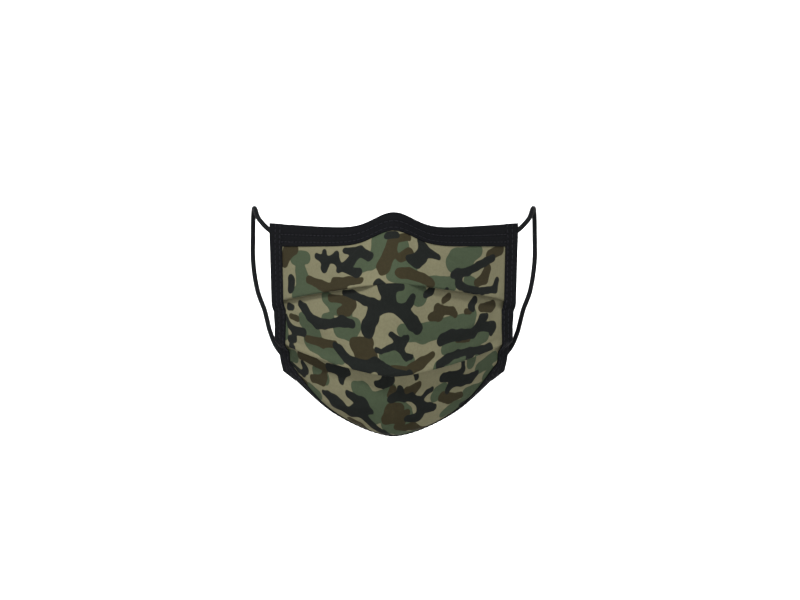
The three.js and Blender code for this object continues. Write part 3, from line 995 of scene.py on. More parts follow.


# ---- The print ----

# Each figure is a chain of rounds, (across, down, radius), in millimetres on the worn mask: across from its middle line
# to the wearer's left, down from the top of its hump. A few black strokes on the upper left also hold painted shade of
# a fold.
FIGURES = {
    Ink.GREEN: (
        ((-8, 14, 3), (-8.5, 22, 3.5), (-11, 26, 2.5), (-17, 27.5, 2.3)),
        ((4, 17, 3), (5, 24, 3), (2, 30, 3), (0, 34.5, 2)),
        ((10, 29.5, 1.5), (5, 30, 2.2)),
        ((8, 39, 3), (12, 40, 3.5), (15, 46, 3), (13, 42, 3), (4.5, 47, 3.6)),
        ((16, 39, 2), (24, 38.5, 1.7), (32, 38.5, 2)),
        ((47, 20.5, 1.6), (42, 24, 3), (35, 24, 2.6), (33, 28, 2.5), (41, 28, 2.6)),
        ((45, 40, 2), (42, 37.5, 1.5)),
        ((-52, 32, 2.3), (-51, 38, 3), (-48, 43, 3.6), (-54, 45, 3), (-43, 43.5, 2)),
        ((-50, 24.6, 1.5), (-56, 24.5, 1.5)),
        ((-24, 29, 1.3), (-18, 28, 2.2)),
        ((-38, 46.5, 1.5), (-33, 51, 2.4), (-27, 54, 2.4)),
        ((-51, 59, 2.4), (-47, 64, 3), (-44, 67, 2), (-48, 70, 1.6)),
        ((-31, 64.5, 1.5), (-25, 66, 2.3), (-22, 62, 2)),
        ((-36, 58.5, 1.6), (-38, 59, 1.5)),
        ((-46, 72, 1.4), (-39, 75, 2.3), (-34, 77.5, 2.6), (-30, 79, 1.8)),
        ((44, 56, 1.6), (42, 60, 2.8), (33, 62, 2.8), (24, 64, 3.2), (17, 66.5, 3), (7, 66, 2.4)),
        ((30, 74, 1.6), (38, 72.5, 2.2), (46, 70, 2.2), (51, 67.5, 1.7)),
        ((-4, 77.5, 1.6), (1, 78, 3), (2, 82, 3), (8, 83.5, 1.8)),
        ((-61, 80, 1.6), (-56, 80, 1.4)),
        ((-43, 88, 2.2), (-39, 91, 1.8)),
        ((-20, 98, 2.2), (-16, 98, 2.2), (-15, 101, 1.6)),
        ((-2, 97, 1.5), (-5, 102, 2), (-10, 104, 2.4), (-8, 109, 3), (-12, 113, 2)),
        ((3, 106, 2.2), (5, 110, 2.2), (8, 116, 2), (0, 119.5, 2.2), (-3, 117, 2)),
        ((4, 123, 1.4), (10, 122.8, 1.7)),
        ((25, 86.5, 1.5), (32, 84.5, 2.6), (38, 80.5, 2.4)),
        ((44, 82, 1.8), (48, 79.5, 1.2)),
        ((57, 80, 1), (53, 83, 1.5), (48, 86, 1.1)),
        ((28, 98, 1.7), (24, 101, 1.8)),
        ((49, 97, 1.2), (41, 101, 1.7)),
        ((41, 105, 1.4), (34, 108, 1.8), (29, 111.5, 1.6)),
        ((52, 91, 0.8), (55, 88, 0.8)),
        ((-48, 97, 1.5), (-43, 101, 1.2)),
        ((-62, 60, 1.2), (-61.5, 67, 1.2)),
    ),
    Ink.BROWN: (
        ((0, 15, 2), (-2, 22, 2.7), (-5, 28, 3.2), (-5.5, 31, 2.4)),
        ((3, 14, 1.3), (8, 12.5, 1.2)),
        ((9, 21.5, 1.7), (4, 25, 1.4)),
        ((4, 33, 2), (10, 33.5, 2.2), (17, 35.5, 2), (21, 38, 2.2)),
        ((-48, 36.5, 1.4), (-41, 39, 1.6), (-36, 42, 2.4), (-28, 41, 1.8)),
        ((-34, 37.5, 1), (-26, 37, 1.6), (-19, 37, 1.1)),
        ((-56, 19, 2.4), (-60, 21, 3), (-61.5, 27, 2.4)),
        ((-36, 47, 1.2), (-27, 47.5, 1.6), (-23.5, 50, 2), (-26, 53.5, 2.4), (-30, 54.5, 1.5)),
        ((-57.8, 57, 0.8), (-54.5, 58.6, 1)),
        ((-14, 71, 2), (-21, 73, 2.8), (-17, 75, 4), (-12, 78, 2), (-19, 78, 2.6)),
        ((-49, 69.5, 1), (-40, 72, 1.5), (-33, 72.5, 1)),
        ((-53, 79, 1.2), (-45, 82, 1.8), (-38, 86, 1)),
        ((-46, 92, 1.5), (-40, 93, 2), (-39, 90.5, 1.6)),
        ((-53, 92, 1.3), (-50, 95, 1.3)),
        ((24.8, 52, 1.3), (26, 56.5, 2), (21, 57.5, 1.3)),
        ((27, 53.5, 1.6), (33, 54, 1.3), (35, 56, 1)),
        ((28.5, 48, 1.2), (31, 46.5, 1.4)),
        ((49, 52, 1.7), (54, 52, 2.2), (56, 50, 1.6)),
        ((53, 31, 2), (51, 36, 2.4), (47, 38.5, 1.4)),
        ((60, 20, 2.4), (54, 23, 2)),
        ((40.5, 54.5, 0.8), (43, 54.5, 0.9)),
        ((21, 78.5, 1), (15, 83, 2.2), (9, 86, 1.7), (-1, 86, 0.9)),
        ((36, 69.7, 1.3), (42, 69.2, 1)),
        ((7, 98, 1.5), (11, 97, 2.1), (13.5, 95, 1.3)),
        ((0, 97, 1.4), (-1.5, 100, 1.1)),
        ((4, 107, 1.2), (-2, 107.5, 2.3), (-2.5, 113, 3.2), (3, 113.5, 2.4), (6.5, 111, 1.6)),
        ((3, 118.5, 1.6), (10, 118.3, 1.6), (18, 119.5, 1)),
        ((27, 102, 1.8), (32, 103, 1.8), (38, 101.5, 0.9)),
        ((-24, 115.5, 1.7), (-19, 118, 1.6), (-16, 120, 0.9)),
        ((-58, 90, 1), (-54, 94, 1)),
    ),
    Ink.BLACK: (
        ((-43.5, 23.5, 1.3), (-39, 25.5, 1.8), (-33, 25.5, 1.6), (-32.3, 22.6, 1.5)),
        ((-39.2, 21.3, 1.1), (-39, 25, 1.4), (-38.3, 28, 1.4), (-39.3, 30.7, 1.9)),
        ((-33, 26, 2), (-30.5, 28.8, 1.5)),
        # The next three black strokes lie along the dark band of the fold on the upper left: they are partly print and
        # partly painted shade of that fold.
        ((-27, 20, 1.3), (-20, 21, 2.6), (-24, 26.5, 2.4), (-31, 31, 1.2)),
        ((-18, 21, 2), (-14, 24, 2.2)),
        ((-27, 31, 1.6), (-20, 32.5, 2.5)),
        ((-58, 37, 2.6), (-58, 41, 2.4)),
        ((-8.8, 38.3, 1.9), (-5, 41.5, 2.6), (0, 40.8, 1.8), (4, 40, 2.1)),
        (
            (-2, 42, 3), (-2.5, 48, 3.5), (-5, 51.5, 2.8), (-11, 51.5, 3.3), (-12, 57, 3.4), (-14.5, 62, 3.8),
            (-15, 65, 3.7),
        ),
        ((-11, 50, 2), (-17, 48, 2), (-23, 45, 1.9), (-28, 44.5, 1.2)),
        ((-2, 51.5, 2.5), (4, 54, 2.6), (7, 57, 2.8), (11, 61, 3.2), (14, 63.8, 2.8)),
        ((5.5, 53, 2.2), (9, 49.5, 2.1), (11, 46.8, 1.8)),
        ((15, 15, 1.8), (17, 19.5, 2.5), (15.5, 24, 3), (12, 26.3, 3.2), (9.3, 25.8, 2.2)),
        ((17, 20, 2.4), (21, 22, 2.2), (25.5, 24, 1.7)),
        ((33.5, 34.3, 1.6), (36, 33.5, 2.5), (42, 32, 1.8), (47, 29.5, 1.8), (52, 27, 1.9), (56, 24.5, 1.5)),
        ((37, 34, 2.4), (37, 39, 2.3), (42, 42, 1.5), (50, 43, 1.5), (57, 41.5, 1.6), (58.5, 37, 1.3)),
        ((18.6, 45, 1.6), (21, 43.4, 1.7), (29, 43.6, 0.9)),
        ((45.5, 48, 1.9), (43.5, 51.3, 2), (44.5, 53, 1.5)),
        (
            (52, 57, 1.6), (49.5, 58, 2.2), (48.5, 62, 2.5), (45, 66, 2.4), (38, 67.3, 2.4), (32, 67.8, 2.8),
            (27, 70.3, 2.9),
        ),
        ((49, 63, 2), (56, 63, 2.5), (55, 66.3, 1.3)),
        (
            (-53, 50, 1.5), (-50, 52, 2), (-47.5, 57, 2.1), (-43.5, 60.5, 2.7), (-39, 61.5, 2.2), (-34, 60.5, 1.8),
            (-28.5, 60, 2.5), (-23.5, 61.2, 2),
        ),
        ((-61, 57, 0.9), (-59, 62, 1.1), (-56.5, 65, 1.6), (-50.5, 66, 1.9)),
        ((-59, 51.3, 1.8), (-57, 51.6, 1.5)),
        ((-59, 69.5, 1.4), (-56, 69.3, 1.8)),
        (
            (-32.5, 73.5, 1.9), (-30, 76, 2.5), (-26.5, 80, 1.9), (-22, 83.2, 2.5), (-14, 84.5, 2.6), (-9, 83.5, 3),
            (-5, 86.5, 2.2), (1, 88.3, 1.8), (8, 89.6, 1.7), (13, 91, 0.9),
        ),
        ((-5, 88, 3), (-3, 92, 3.3), (-9.5, 94.3, 1.3)),
        ((-37, 85, 1.7), (-33, 86.5, 1.9), (-29.5, 88, 2.6), (-25.5, 88, 1.4)),
        ((-29.5, 89, 2), (-29.8, 92.5, 1.6)),
        ((-58.3, 73.5, 1.2), (-56, 76.3, 1.2)),
        ((-51.5, 83.5, 1.3), (-49.5, 87, 1.9), (-51, 90, 1.2), (-54, 87.5, 0.8), (-58, 84, 0.7)),
        (
            (-39.5, 100, 1), (-36.5, 101.5, 1.8), (-33, 105, 3.5), (-29.5, 107, 2.5), (-25, 110.5, 2.3),
            (-20, 110, 3.4), (-17, 105.5, 3.4), (-21.5, 103, 1.9), (-25.5, 100.6, 1.6),
        ),
        ((-16.5, 108.5, 3), (-12.5, 109.5, 1.2)),
        ((-18, 112, 2.4), (-12, 118, 1.8), (-7, 121.5, 2), (-2, 124, 1.4), (3, 124, 1.3)),
        ((3.5, 97, 1.6), (4, 101, 2), (-1, 102.8, 2.2)),
        ((4, 101.5, 1.8), (9, 101, 1.6), (13, 103, 1.4), (16, 107.3, 2.3), (20, 107.5, 2), (22.5, 108, 1.6)),
        ((15.5, 103, 0.9), (18.5, 98.8, 0.9), (21.5, 97.4, 1)),
        ((16, 108, 2), (14.5, 112.5, 2.2), (8, 113, 1.5)),
        (
            (26, 83.5, 2), (30, 80.5, 1.9), (36, 77.8, 1.3), (43, 76, 1.3), (50, 75.3, 1.6), (54, 74.8, 1.9),
            (53, 78, 1.3),
        ),
        ((44, 77, 1.5), (41.5, 82, 0.9), (39.5, 86.5, 1), (37, 89, 1.5), (31, 90.2, 1.9), (27.5, 90.7, 1.7)),
        ((47, 88.5, 1.4), (44, 91, 2.3), (38.5, 93.3, 2.4), (33, 93.5, 2.4), (30.5, 98, 1.4)),
        ((-1.5, 66.6, 1), (2, 70, 1.2), (3, 73.3, 1.6), (-3, 74.5, 1.1), (-9, 75.5, 1.2)),
        ((3.5, 73, 1.4), (6.5, 69.5, 1.3), (7, 68.8, 1)),
        ((3.8, 75, 1.2), (6.5, 79.2, 1.3), (9.5, 79.5, 1)),
        ((38, 107, 1.5), (44, 103, 1.3), (52, 98.5, 0.9)),
        ((28, 115.5, 1.1), (33, 112, 1), (38, 108.5, 1)),
        ((-3, 12.5, 1.8), (1, 12.3, 1.7)),
    ),
}


@dataclass
class Woodland:
    """The print's figures, moved from the worn mask to the flat cloth, so that they follow it round its folds."""

    hump_top: float = 6.0  # height of the hump above the frame's origin, in millimetres
    blend: float = 0.6  # how softly the strokes of a figure run together, in millimetres
    reach: float = 1.5  # how far off a round may find its cloth, in millimetres
    depth: float = 0.9  # less than the step between two layers of cloth, in millimetres
    chains: dict[Ink, list[np.ndarray]] = field(default_factory=dict)

    def lay_out(self, points: np.ndarray, cut: np.ndarray) -> None:
        """Finds where each figure lies on the flat cloth.

        Args:
            points: Points of the outer cloth, in metres.
            cut: Their places on the flat cloth, in millimetres.
        """
        for ink, figures in FIGURES.items():
            self.chains[ink] = [np.array([self.spot(points, cut, *r) for r in chain]) for chain in figures]

    def spot(self, points: np.ndarray, cut: np.ndarray, across: float, down: float, radius: float) -> tuple:
        """Finds one round's place on the flat cloth, from the frontmost cloth there.

        Args:
            points: Points of the outer cloth, in metres.
            cut: Their places on the flat cloth, in millimetres.
            across: Millimetres to the wearer's left.
            down: Millimetres below the top of the hump.
            radius: The round's radius.

        Returns:
            The place and the radius, in millimetres.
        """
        seen = np.array([across, self.hump_top - down]) * MM
        away = np.linalg.norm(points[:, [0, 2]] - seen, axis=1)
        near = away < max(self.reach * MM, away.min() + 0.3 * MM)
        front = near & (points[:, 1] < points[near, 1].min() + self.depth * MM)
        best = np.flatnonzero(front)[np.argmin(away[front])]
        return (*cut[best], radius)

    def outline(self, ink: Ink, cut: np.ndarray) -> np.ndarray:
        """How far each place lies outside the nearest figure of an ink.

        Args:
            ink: The ink.
            cut: Places on the flat cloth, in millimetres.

        Returns:
            Millimetres, below zero inside a figure.
        """
        nearest = np.zeros(len(cut))
        for chain in self.chains[ink]:
            for a, b in zip(chain, chain[1:]):
                way = b[:2] - a[:2]
                span = max(float(way @ way), 1e-9)
                u = np.clip((cut - a[:2]) @ way / span, 0, 1)
                gap = np.linalg.norm(cut - a[:2] - u[:, None] * way, axis=1) - (a[2] + (b[2] - a[2]) * u)
                nearest += np.exp(-np.clip(gap, -20, 60) / self.blend)
        return np.clip(-self.blend * np.log(np.maximum(nearest, 1e-30)) - ink.spread, -20, 20)

    def ink_up(self, obj: bpy.types.Object, cut: np.ndarray) -> None:
        """Writes the outlines of all the inks on a piece of cloth.

        Args:
            obj: The piece.
            cut: The place of each of its points on the flat cloth, in millimetres.
        """
        for ink in Ink:
            layer = obj.data.attributes.new(ink.layer, "FLOAT", "POINT")
            one_side = self.outline(ink, cut[: len(cut) // 2])
            layer.data.foreach_set("value", np.tile(one_side, 2).astype(np.float32))


# ---- Pleated cloth ----


@dataclass(frozen=True)
class Crease:
    """A soft fold in the cloth, from one place to another. Places are millimetres across and down the mask."""

    start: tuple[float, float]
    end: tuple[float, float]
    width: float
    height: float


@dataclass(frozen=True)
class Ply:
    """One ply of the stack, by how far its two faces lie outside the stack's middle."""

    word: str
    outside: float
    inside: float
    columns: int
    material: bpy.types.Material
    slot: str
    node: str


@dataclass
class PleatedCloth:
    """The three plies, folded together into two pleats that are shut at the sides and open over the nose and chin."""

    stack: float = 0.8  # thickness of the three plies together
    turn: float = 0.45  # radius of a fold, at the middle of the stack
    wire_room: float = 5.1  # from the top edge to where the cloth starts
    side_room: float = 0.8  # from a side edge to where the cloth ends
    pleat_depth: float = 16.0  # of the upper pleat's fold at the sides
    open_half: float = 7.0  # half the width over the nose where the upper pleat is open
    open_fold: float = 0.5  # what is left of the fold there
    shut_room: float = 8.0  # from a side edge to where the pleat is as deep as it gets
    return_depth: float = 6.0  # cloth that turns back up behind the lower pleat's lip
    underlap: float = 12.0  # chin cloth that lies hidden above the lower lip
    flare: float = 1.2  # how far the pleats' lips stand out
    creases: tuple[Crease, ...] = (
        Crease((-15, 12), (-43, 31), 2.0, 0.85),
        Crease((-20, 11), (-50, 27), 1.7, -0.55),
        Crease((-10, 14), (-33, 35), 2.2, -0.5),
        Crease((-27, 14), (-60, 25), 2.6, 0.5),
        Crease((14, 12), (41, 30), 2.0, 0.8),
        Crease((20, 12), (52, 26), 1.8, -0.5),
        Crease((10, 15), (30, 34), 2.3, -0.45),
        Crease((30, 15), (62, 24), 2.6, 0.4),
        Crease((-78, 48), (-40, 62), 2.6, 0.55),
        Crease((-80, 54), (-36, 74), 3.0, -0.4),
        Crease((80, 47), (38, 64), 2.6, 0.5),
        Crease((76, 55), (30, 78), 3.0, -0.4),
        Crease((-30, 58), (12, 64), 3.5, 0.4),
        Crease((34, 66), (-6, 76), 3.2, -0.35),
        Crease((55, 100), (16, 96), 2.2, 0.6),
        Crease((-52, 103), (-8, 110), 2.6, 0.5),
        Crease((50, 108), (12, 118), 2.8, -0.45),
        Crease((-66, 96), (-28, 124), 3.0, -0.4),
        Crease((30, 104), (44, 128), 3.2, 0.35),
    )

    def __post_init__(self) -> None:
        """Names the three plies."""
        half = self.stack / 2
        self.plies = (
            Ply("outer", half, half - 0.26, 236, POPLIN, "camo_cloth", "outer_cloth"),
            Ply("filter", half - 0.34, 0.38 - half, 118, FELT, "filter_cloth", "filter_layer"),
            Ply("lining", 0.28 - half, -half, 150, LINING, "lining_cloth", "inner_lining"),
        )

    def columns(self, count: int) -> np.ndarray:
        """Places across the face, evenly spaced on the cloth.

        Args:
            count: How many there are.

        Returns:
            The places, as t.
        """
        t = np.linspace(-1, 1, 801)
        run = arc_length(FACE.point(t, np.full_like(t, 0.3)))
        room = self.side_room
        return np.interp(np.linspace(room, run[-1] - room, count), run, t)

    @staticmethod
    def down(t: np.ndarray) -> tuple[np.ndarray, np.ndarray]:
        """The length down each column of the face.

        Args:
            t: The columns.

        Returns:
            Places down the face, and for each column the millimetres from the top edge to each of them.
        """
        h = np.linspace(-0.05, 1.05, 441)
        run = arc_length(FACE.point(*np.meshgrid(t, h)), 0)
        zero = np.array([np.interp(0, h, run[:, i]) for i in range(len(t))])
        return h, run - zero

    def path_points(self, spans: list) -> tuple[np.ndarray, np.ndarray, np.ndarray]:
        """Samples a folded path that is made of straight runs and half turns.

        Args:
            spans: Each ("run", from, to, level, rows) or ("turn", place, level, way, radius, rows), with an array
                entry for each column.

        Returns:
            The path's (down, out) for each row and column, the direction that faces out of the cloth there, and the
            number of the span that each row is in.
        """
        places, facing, number = [], [], []
        for index, (kind, *spec) in enumerate(spans):
            number += [index] * spec[-1]
            if kind == "run":
                start, end, level, rows = spec
                for u in np.linspace(0, 1, rows, endpoint=False):
                    places.append(np.stack([start + (end - start) * u, level], -1))
                    facing.append(np.stack([np.zeros_like(level), np.sign(end - start + 1e-9)], -1))
            else:
                place, level, way, radius, rows = spec
                for a in np.linspace(math.pi / 2, -math.pi / 2, rows, endpoint=False):
                    c, s = math.cos(a) * way, math.sin(a)
                    places.append(np.stack([place + c * radius, level - radius + s * radius], -1))
                    facing.append(np.tile([c * way, s * way], (len(place), 1)))
        return np.array(places), np.array(facing), np.array(number)

    def upper_path(self, t: np.ndarray) -> tuple[np.ndarray, np.ndarray, np.ndarray]:
        """The folded path of the cloth from the top edge to the lower lip.

        Args:
            t: The columns.

        Returns:
            The path as path_points gives it.
        """
        h, run = self.down(t)
        lip = np.array([np.interp(UPPER_LIP, h, run[:, i]) for i in range(len(t))])
        low = np.array([np.interp(LOWER_LIP, h, run[:, i]) for i in range(len(t))])
        x = np.abs(t) * FACE.half_width
        shut = np.clip((x - self.open_half) / (FACE.half_width - self.open_half - self.shut_room), 0, 1) ** 0.85
        fold = self.open_fold + (self.pleat_depth - self.open_fold) * shut
        r = self.turn * (0.1 + 0.9 * smooth(fold, self.open_fold, 5))  # a shallow fold lies almost flat
        top = np.full_like(t, self.wire_room)
        one = np.full_like(t, -self.stack / 2)
        two, three = one - 2 * r, one - 4 * r
        four = three - 2 * self.turn
        # Down to the upper lip, back up behind it, down to the lower lip, and a little way up behind that.
        spans = [
            ("run", top, lip - r, one, 60),
            ("turn", lip - r, one, 1, r, 9),
            ("run", lip - r, lip - fold + r, two, 8),
            ("turn", lip - fold + r, two, -1, r, 6),
            ("run", lip - fold + r, lip, three, 8),
            ("run", lip, low - self.turn, three, 66),
            ("turn", low - self.turn, three, 1, np.full_like(t, self.turn), 9),
            ("run", low - self.turn, low - self.return_depth, four, 4),
        ]
        return self.path_points(spans)

    def chin_path(self, t: np.ndarray) -> tuple[np.ndarray, np.ndarray, np.ndarray]:
        """The folded path of the cloth from behind the lower lip to the bottom edge.

        Args:
            t: The columns.

        Returns:
            The path as path_points gives it.
        """
        h, run = self.down(t)
        low = np.array([np.interp(LOWER_LIP, h, run[:, i]) for i in range(len(t))])
        end = np.array([np.interp(1, h, run[:, i]) for i in range(len(t))]) - self.side_room
        top = low - self.underlap
        r = np.full_like(t, self.turn)
        four = np.full_like(t, -self.stack / 2) - 6 * r  # behind the upper cloth, which turns three times
        five = four - 2 * r
        spans = [
            ("run", top + 5, top + r, four, 4),
            ("turn", top + r, four, -1, r, 6),
            ("run", top + r, low, five, 11),
            ("run", low, end, five, 66),
        ]
        return self.path_points(spans)

    def relief(self, across: np.ndarray, down: np.ndarray) -> np.ndarray:
        """How far the creases and the slack lift the cloth.

        Args:
            across: Millimetres from the centre line, on the cloth.
            down: Millimetres from the top edge, on the cloth.

        Returns:
            Millimetres outward.
        """
        lift = np.zeros_like(across)
        for crease in self.creases:
            a, b = np.array(crease.start), np.array(crease.end)
            way = (b - a) / np.linalg.norm(b - a)
            u = (across - a[0]) * way[0] + (down - a[1]) * way[1]
            v = (across - a[0]) * -way[1] + (down - a[1]) * way[0]
            span = np.linalg.norm(b - a)
            ends = smooth(u, -0.25 * span, 0.25 * span) * smooth(u, 1.25 * span, 0.7 * span)
            wide = crease.width * (0.7 + 0.8 * np.clip(u / span, 0, 1))
            lift += crease.height * ends * np.exp(-((v / wide) ** 2))
        slack = np.sin(across / 9.1 + 0.7 * np.sin(down / 13)) * np.sin(down / 7.3 + 1.1 * np.sin(across / 17))
        return lift + 0.16 * slack

    def build(self) -> None:
        """Makes the plies of both panels and hangs them on their bodies."""
        for ply in self.plies:
            t = self.columns(ply.columns)
            path, facing, span = self.upper_path(t)
            run = arc_length(path, 0)
            chin_path, chin_facing, chin_span = self.chin_path(t)
            x = np.abs(t) * FACE.half_width
            hidden = self.underlap + self.pleat_depth * np.clip((x - 10) / 50, 0, 1)
            below = run[-1] - self.return_depth + hidden + arc_length(chin_path, 0)
            upper = self.panel(ply, t, path, facing, run, span, False)
            chin = self.panel(ply, t, chin_path, chin_facing, below, chin_span, True)
            made = [self.hang(ply, ply.node, upper, Body.MASK, ())]
            also = ("lower_pleat_fold",) if ply.word == "outer" else ()
            made.append(self.hang(ply, f"{ply.node}_chin", chin, Body.CHIN, also))
            if ply.word == "outer":
                woodland = Woodland()
                woodland.lay_out(np.vstack([upper[0], chin[0]]), np.vstack([upper[1], chin[1]]))
                for obj, (_, cut, _) in zip(made, (upper, chin)):
                    woodland.ink_up(obj, cut)

    def panel(
        self,
        ply: Ply,
        t: np.ndarray,
        path: np.ndarray,
        facing: np.ndarray,
        run: np.ndarray,
        span: np.ndarray,
        chin: bool,
    ) -> tuple[np.ndarray, np.ndarray, list]:
        """Shapes one ply of one panel as a thin closed shell.

        Args:
            ply: The ply.
            t: Its columns.
            path: The folded path, (down, out) for each row and column.
            facing: The outward direction along the path.
            run: Millimetres of cloth down to each point, which is its place on the cut.
            span: The number of the path's span that each row is in.
            chin: Whether this is the panel below the lower lip.

        Returns:
            The points in metres, their places on the flat cloth in millimetres, and the faces.
        """
        h, length = self.down(t)
        rows, cols = path.shape[:2]
        tt = np.tile(t, (rows, 1))
        mid_h = self.to_h(h, length, path[..., 0])
        half = arc_length(FACE.point(tt, mid_h), 1)
        centre = np.array([np.interp(0, t, row) for row in half])[:, None]
        across = half - centre
        from_side = across.max(1)[:, None] - np.abs(across)
        from_bottom = length[np.searchsorted(h, 1.001)] - path[..., 0]
        between_tapes = smooth(path[..., 0], 11.5, 15) * smooth(from_side, 11, 17) * smooth(from_bottom, 9, 14)
        lift = self.relief(across, path[..., 0]) * between_tapes
        if chin:
            lift += chin_ease(mid_h, tt)
        else:
            lift += middle_ease(mid_h) + self.lip_flare(span, tt, mid_h, smooth(from_side, 10, 18))
        shells = []
        for offset in (ply.outside, ply.inside):
            w = path[..., 0] + offset * facing[..., 0]
            n = path[..., 1] + offset * facing[..., 1] + lift
            shells.append(FACE.placed(tt, self.to_h(h, length, w), n))
        points = FACE.metres(np.array(shells)).reshape(-1, 3)
        cut = np.stack([across, run], -1).reshape(-1, 2)
        return points, np.vstack([cut, cut]), self.shell_faces(rows, cols)

    def lip_flare(self, span: np.ndarray, t: np.ndarray, h: np.ndarray, inside: np.ndarray) -> np.ndarray:
        """How far the upper cloth stands out where it nears a lip, which shades what lies below.

        Args:
            span: The number of the path's span that each row is in.
            t: Places across the face.
            h: Places down the face.
            inside: 1 on the open cloth, falling to 0 at the side bindings.

        Returns:
            Millimetres outward.
        """
        shut = smooth(np.abs(t) * FACE.half_width, self.open_half, self.open_half + 14)
        upper = shut * smooth(h, UPPER_LIP - 0.06, UPPER_LIP) * smooth(h, UPPER_LIP + 0.03, UPPER_LIP + 0.01)
        lower = smooth(h, LOWER_LIP - 0.05, LOWER_LIP)
        return self.flare * inside * (upper * (span < 3)[:, None] + lower * (span > 4)[:, None])

    @staticmethod
    def hang(ply: Ply, node: str, shape: tuple, body: Body, also: tuple[str, ...]) -> bpy.types.Object:
        """Makes a shaped ply an object on its body.

        Args:
            ply: The ply.
            node: The solid that it stands for.
            shape: Its points, cut and faces, as panel gives them.
            body: The body that it is on.
            also: More solids that it stands for.

        Returns:
            The object.
        """
        points, cut, faces = shape
        obj = make_object(f"{node}_sheet", points, faces, cut * MM)
        dress(obj, ply.material)
        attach(obj, body.value)
        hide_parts(node, *also)
        width, drop = np.ptp(cut, axis=0)
        log.info("%s: %.0f by %.0f mm, %d faces", node, width, drop, len(faces))
        return obj

    @staticmethod
    def to_h(h: np.ndarray, length: np.ndarray, down: np.ndarray) -> np.ndarray:
        """Turns millimetres down each column to places on the face.

        Args:
            h: Sampled places.
            length: Millimetres to each of them, for each column.
            down: Millimetres, for each row and column.

        Returns:
            The places.
        """
        return np.stack([np.interp(down[:, i], length[:, i], h) for i in range(down.shape[1])], 1)

    @staticmethod
    def shell_faces(rows: int, cols: int) -> list:
        """The faces of a sheet with two sides and a closed rim.

        Args:
            rows: Rows of points on each side.
            cols: Columns of points on each side.

        Returns:
            The faces, as vertex numbers.
        """
        size = rows * cols
        faces = []
        for i in range(rows - 1):
            for j in range(cols - 1):
                a = i * cols + j
                faces.append((a, a + 1, a + cols + 1, a + cols))
                faces.append((a + size, a + cols + size, a + cols + 1 + size, a + 1 + size))
        rim = list(range(cols))
        rim += [i * cols + cols - 1 for i in range(1, rows)]
        rim += [(rows - 1) * cols + j for j in range(cols - 2, -1, -1)]
        rim += [i * cols for i in range(rows - 2, 0, -1)]
        for a, b in zip(rim, rim[1:] + rim[:1]):
            faces.append((a, a + size, b + size, b))
        return faces


# ---- Bindings ----


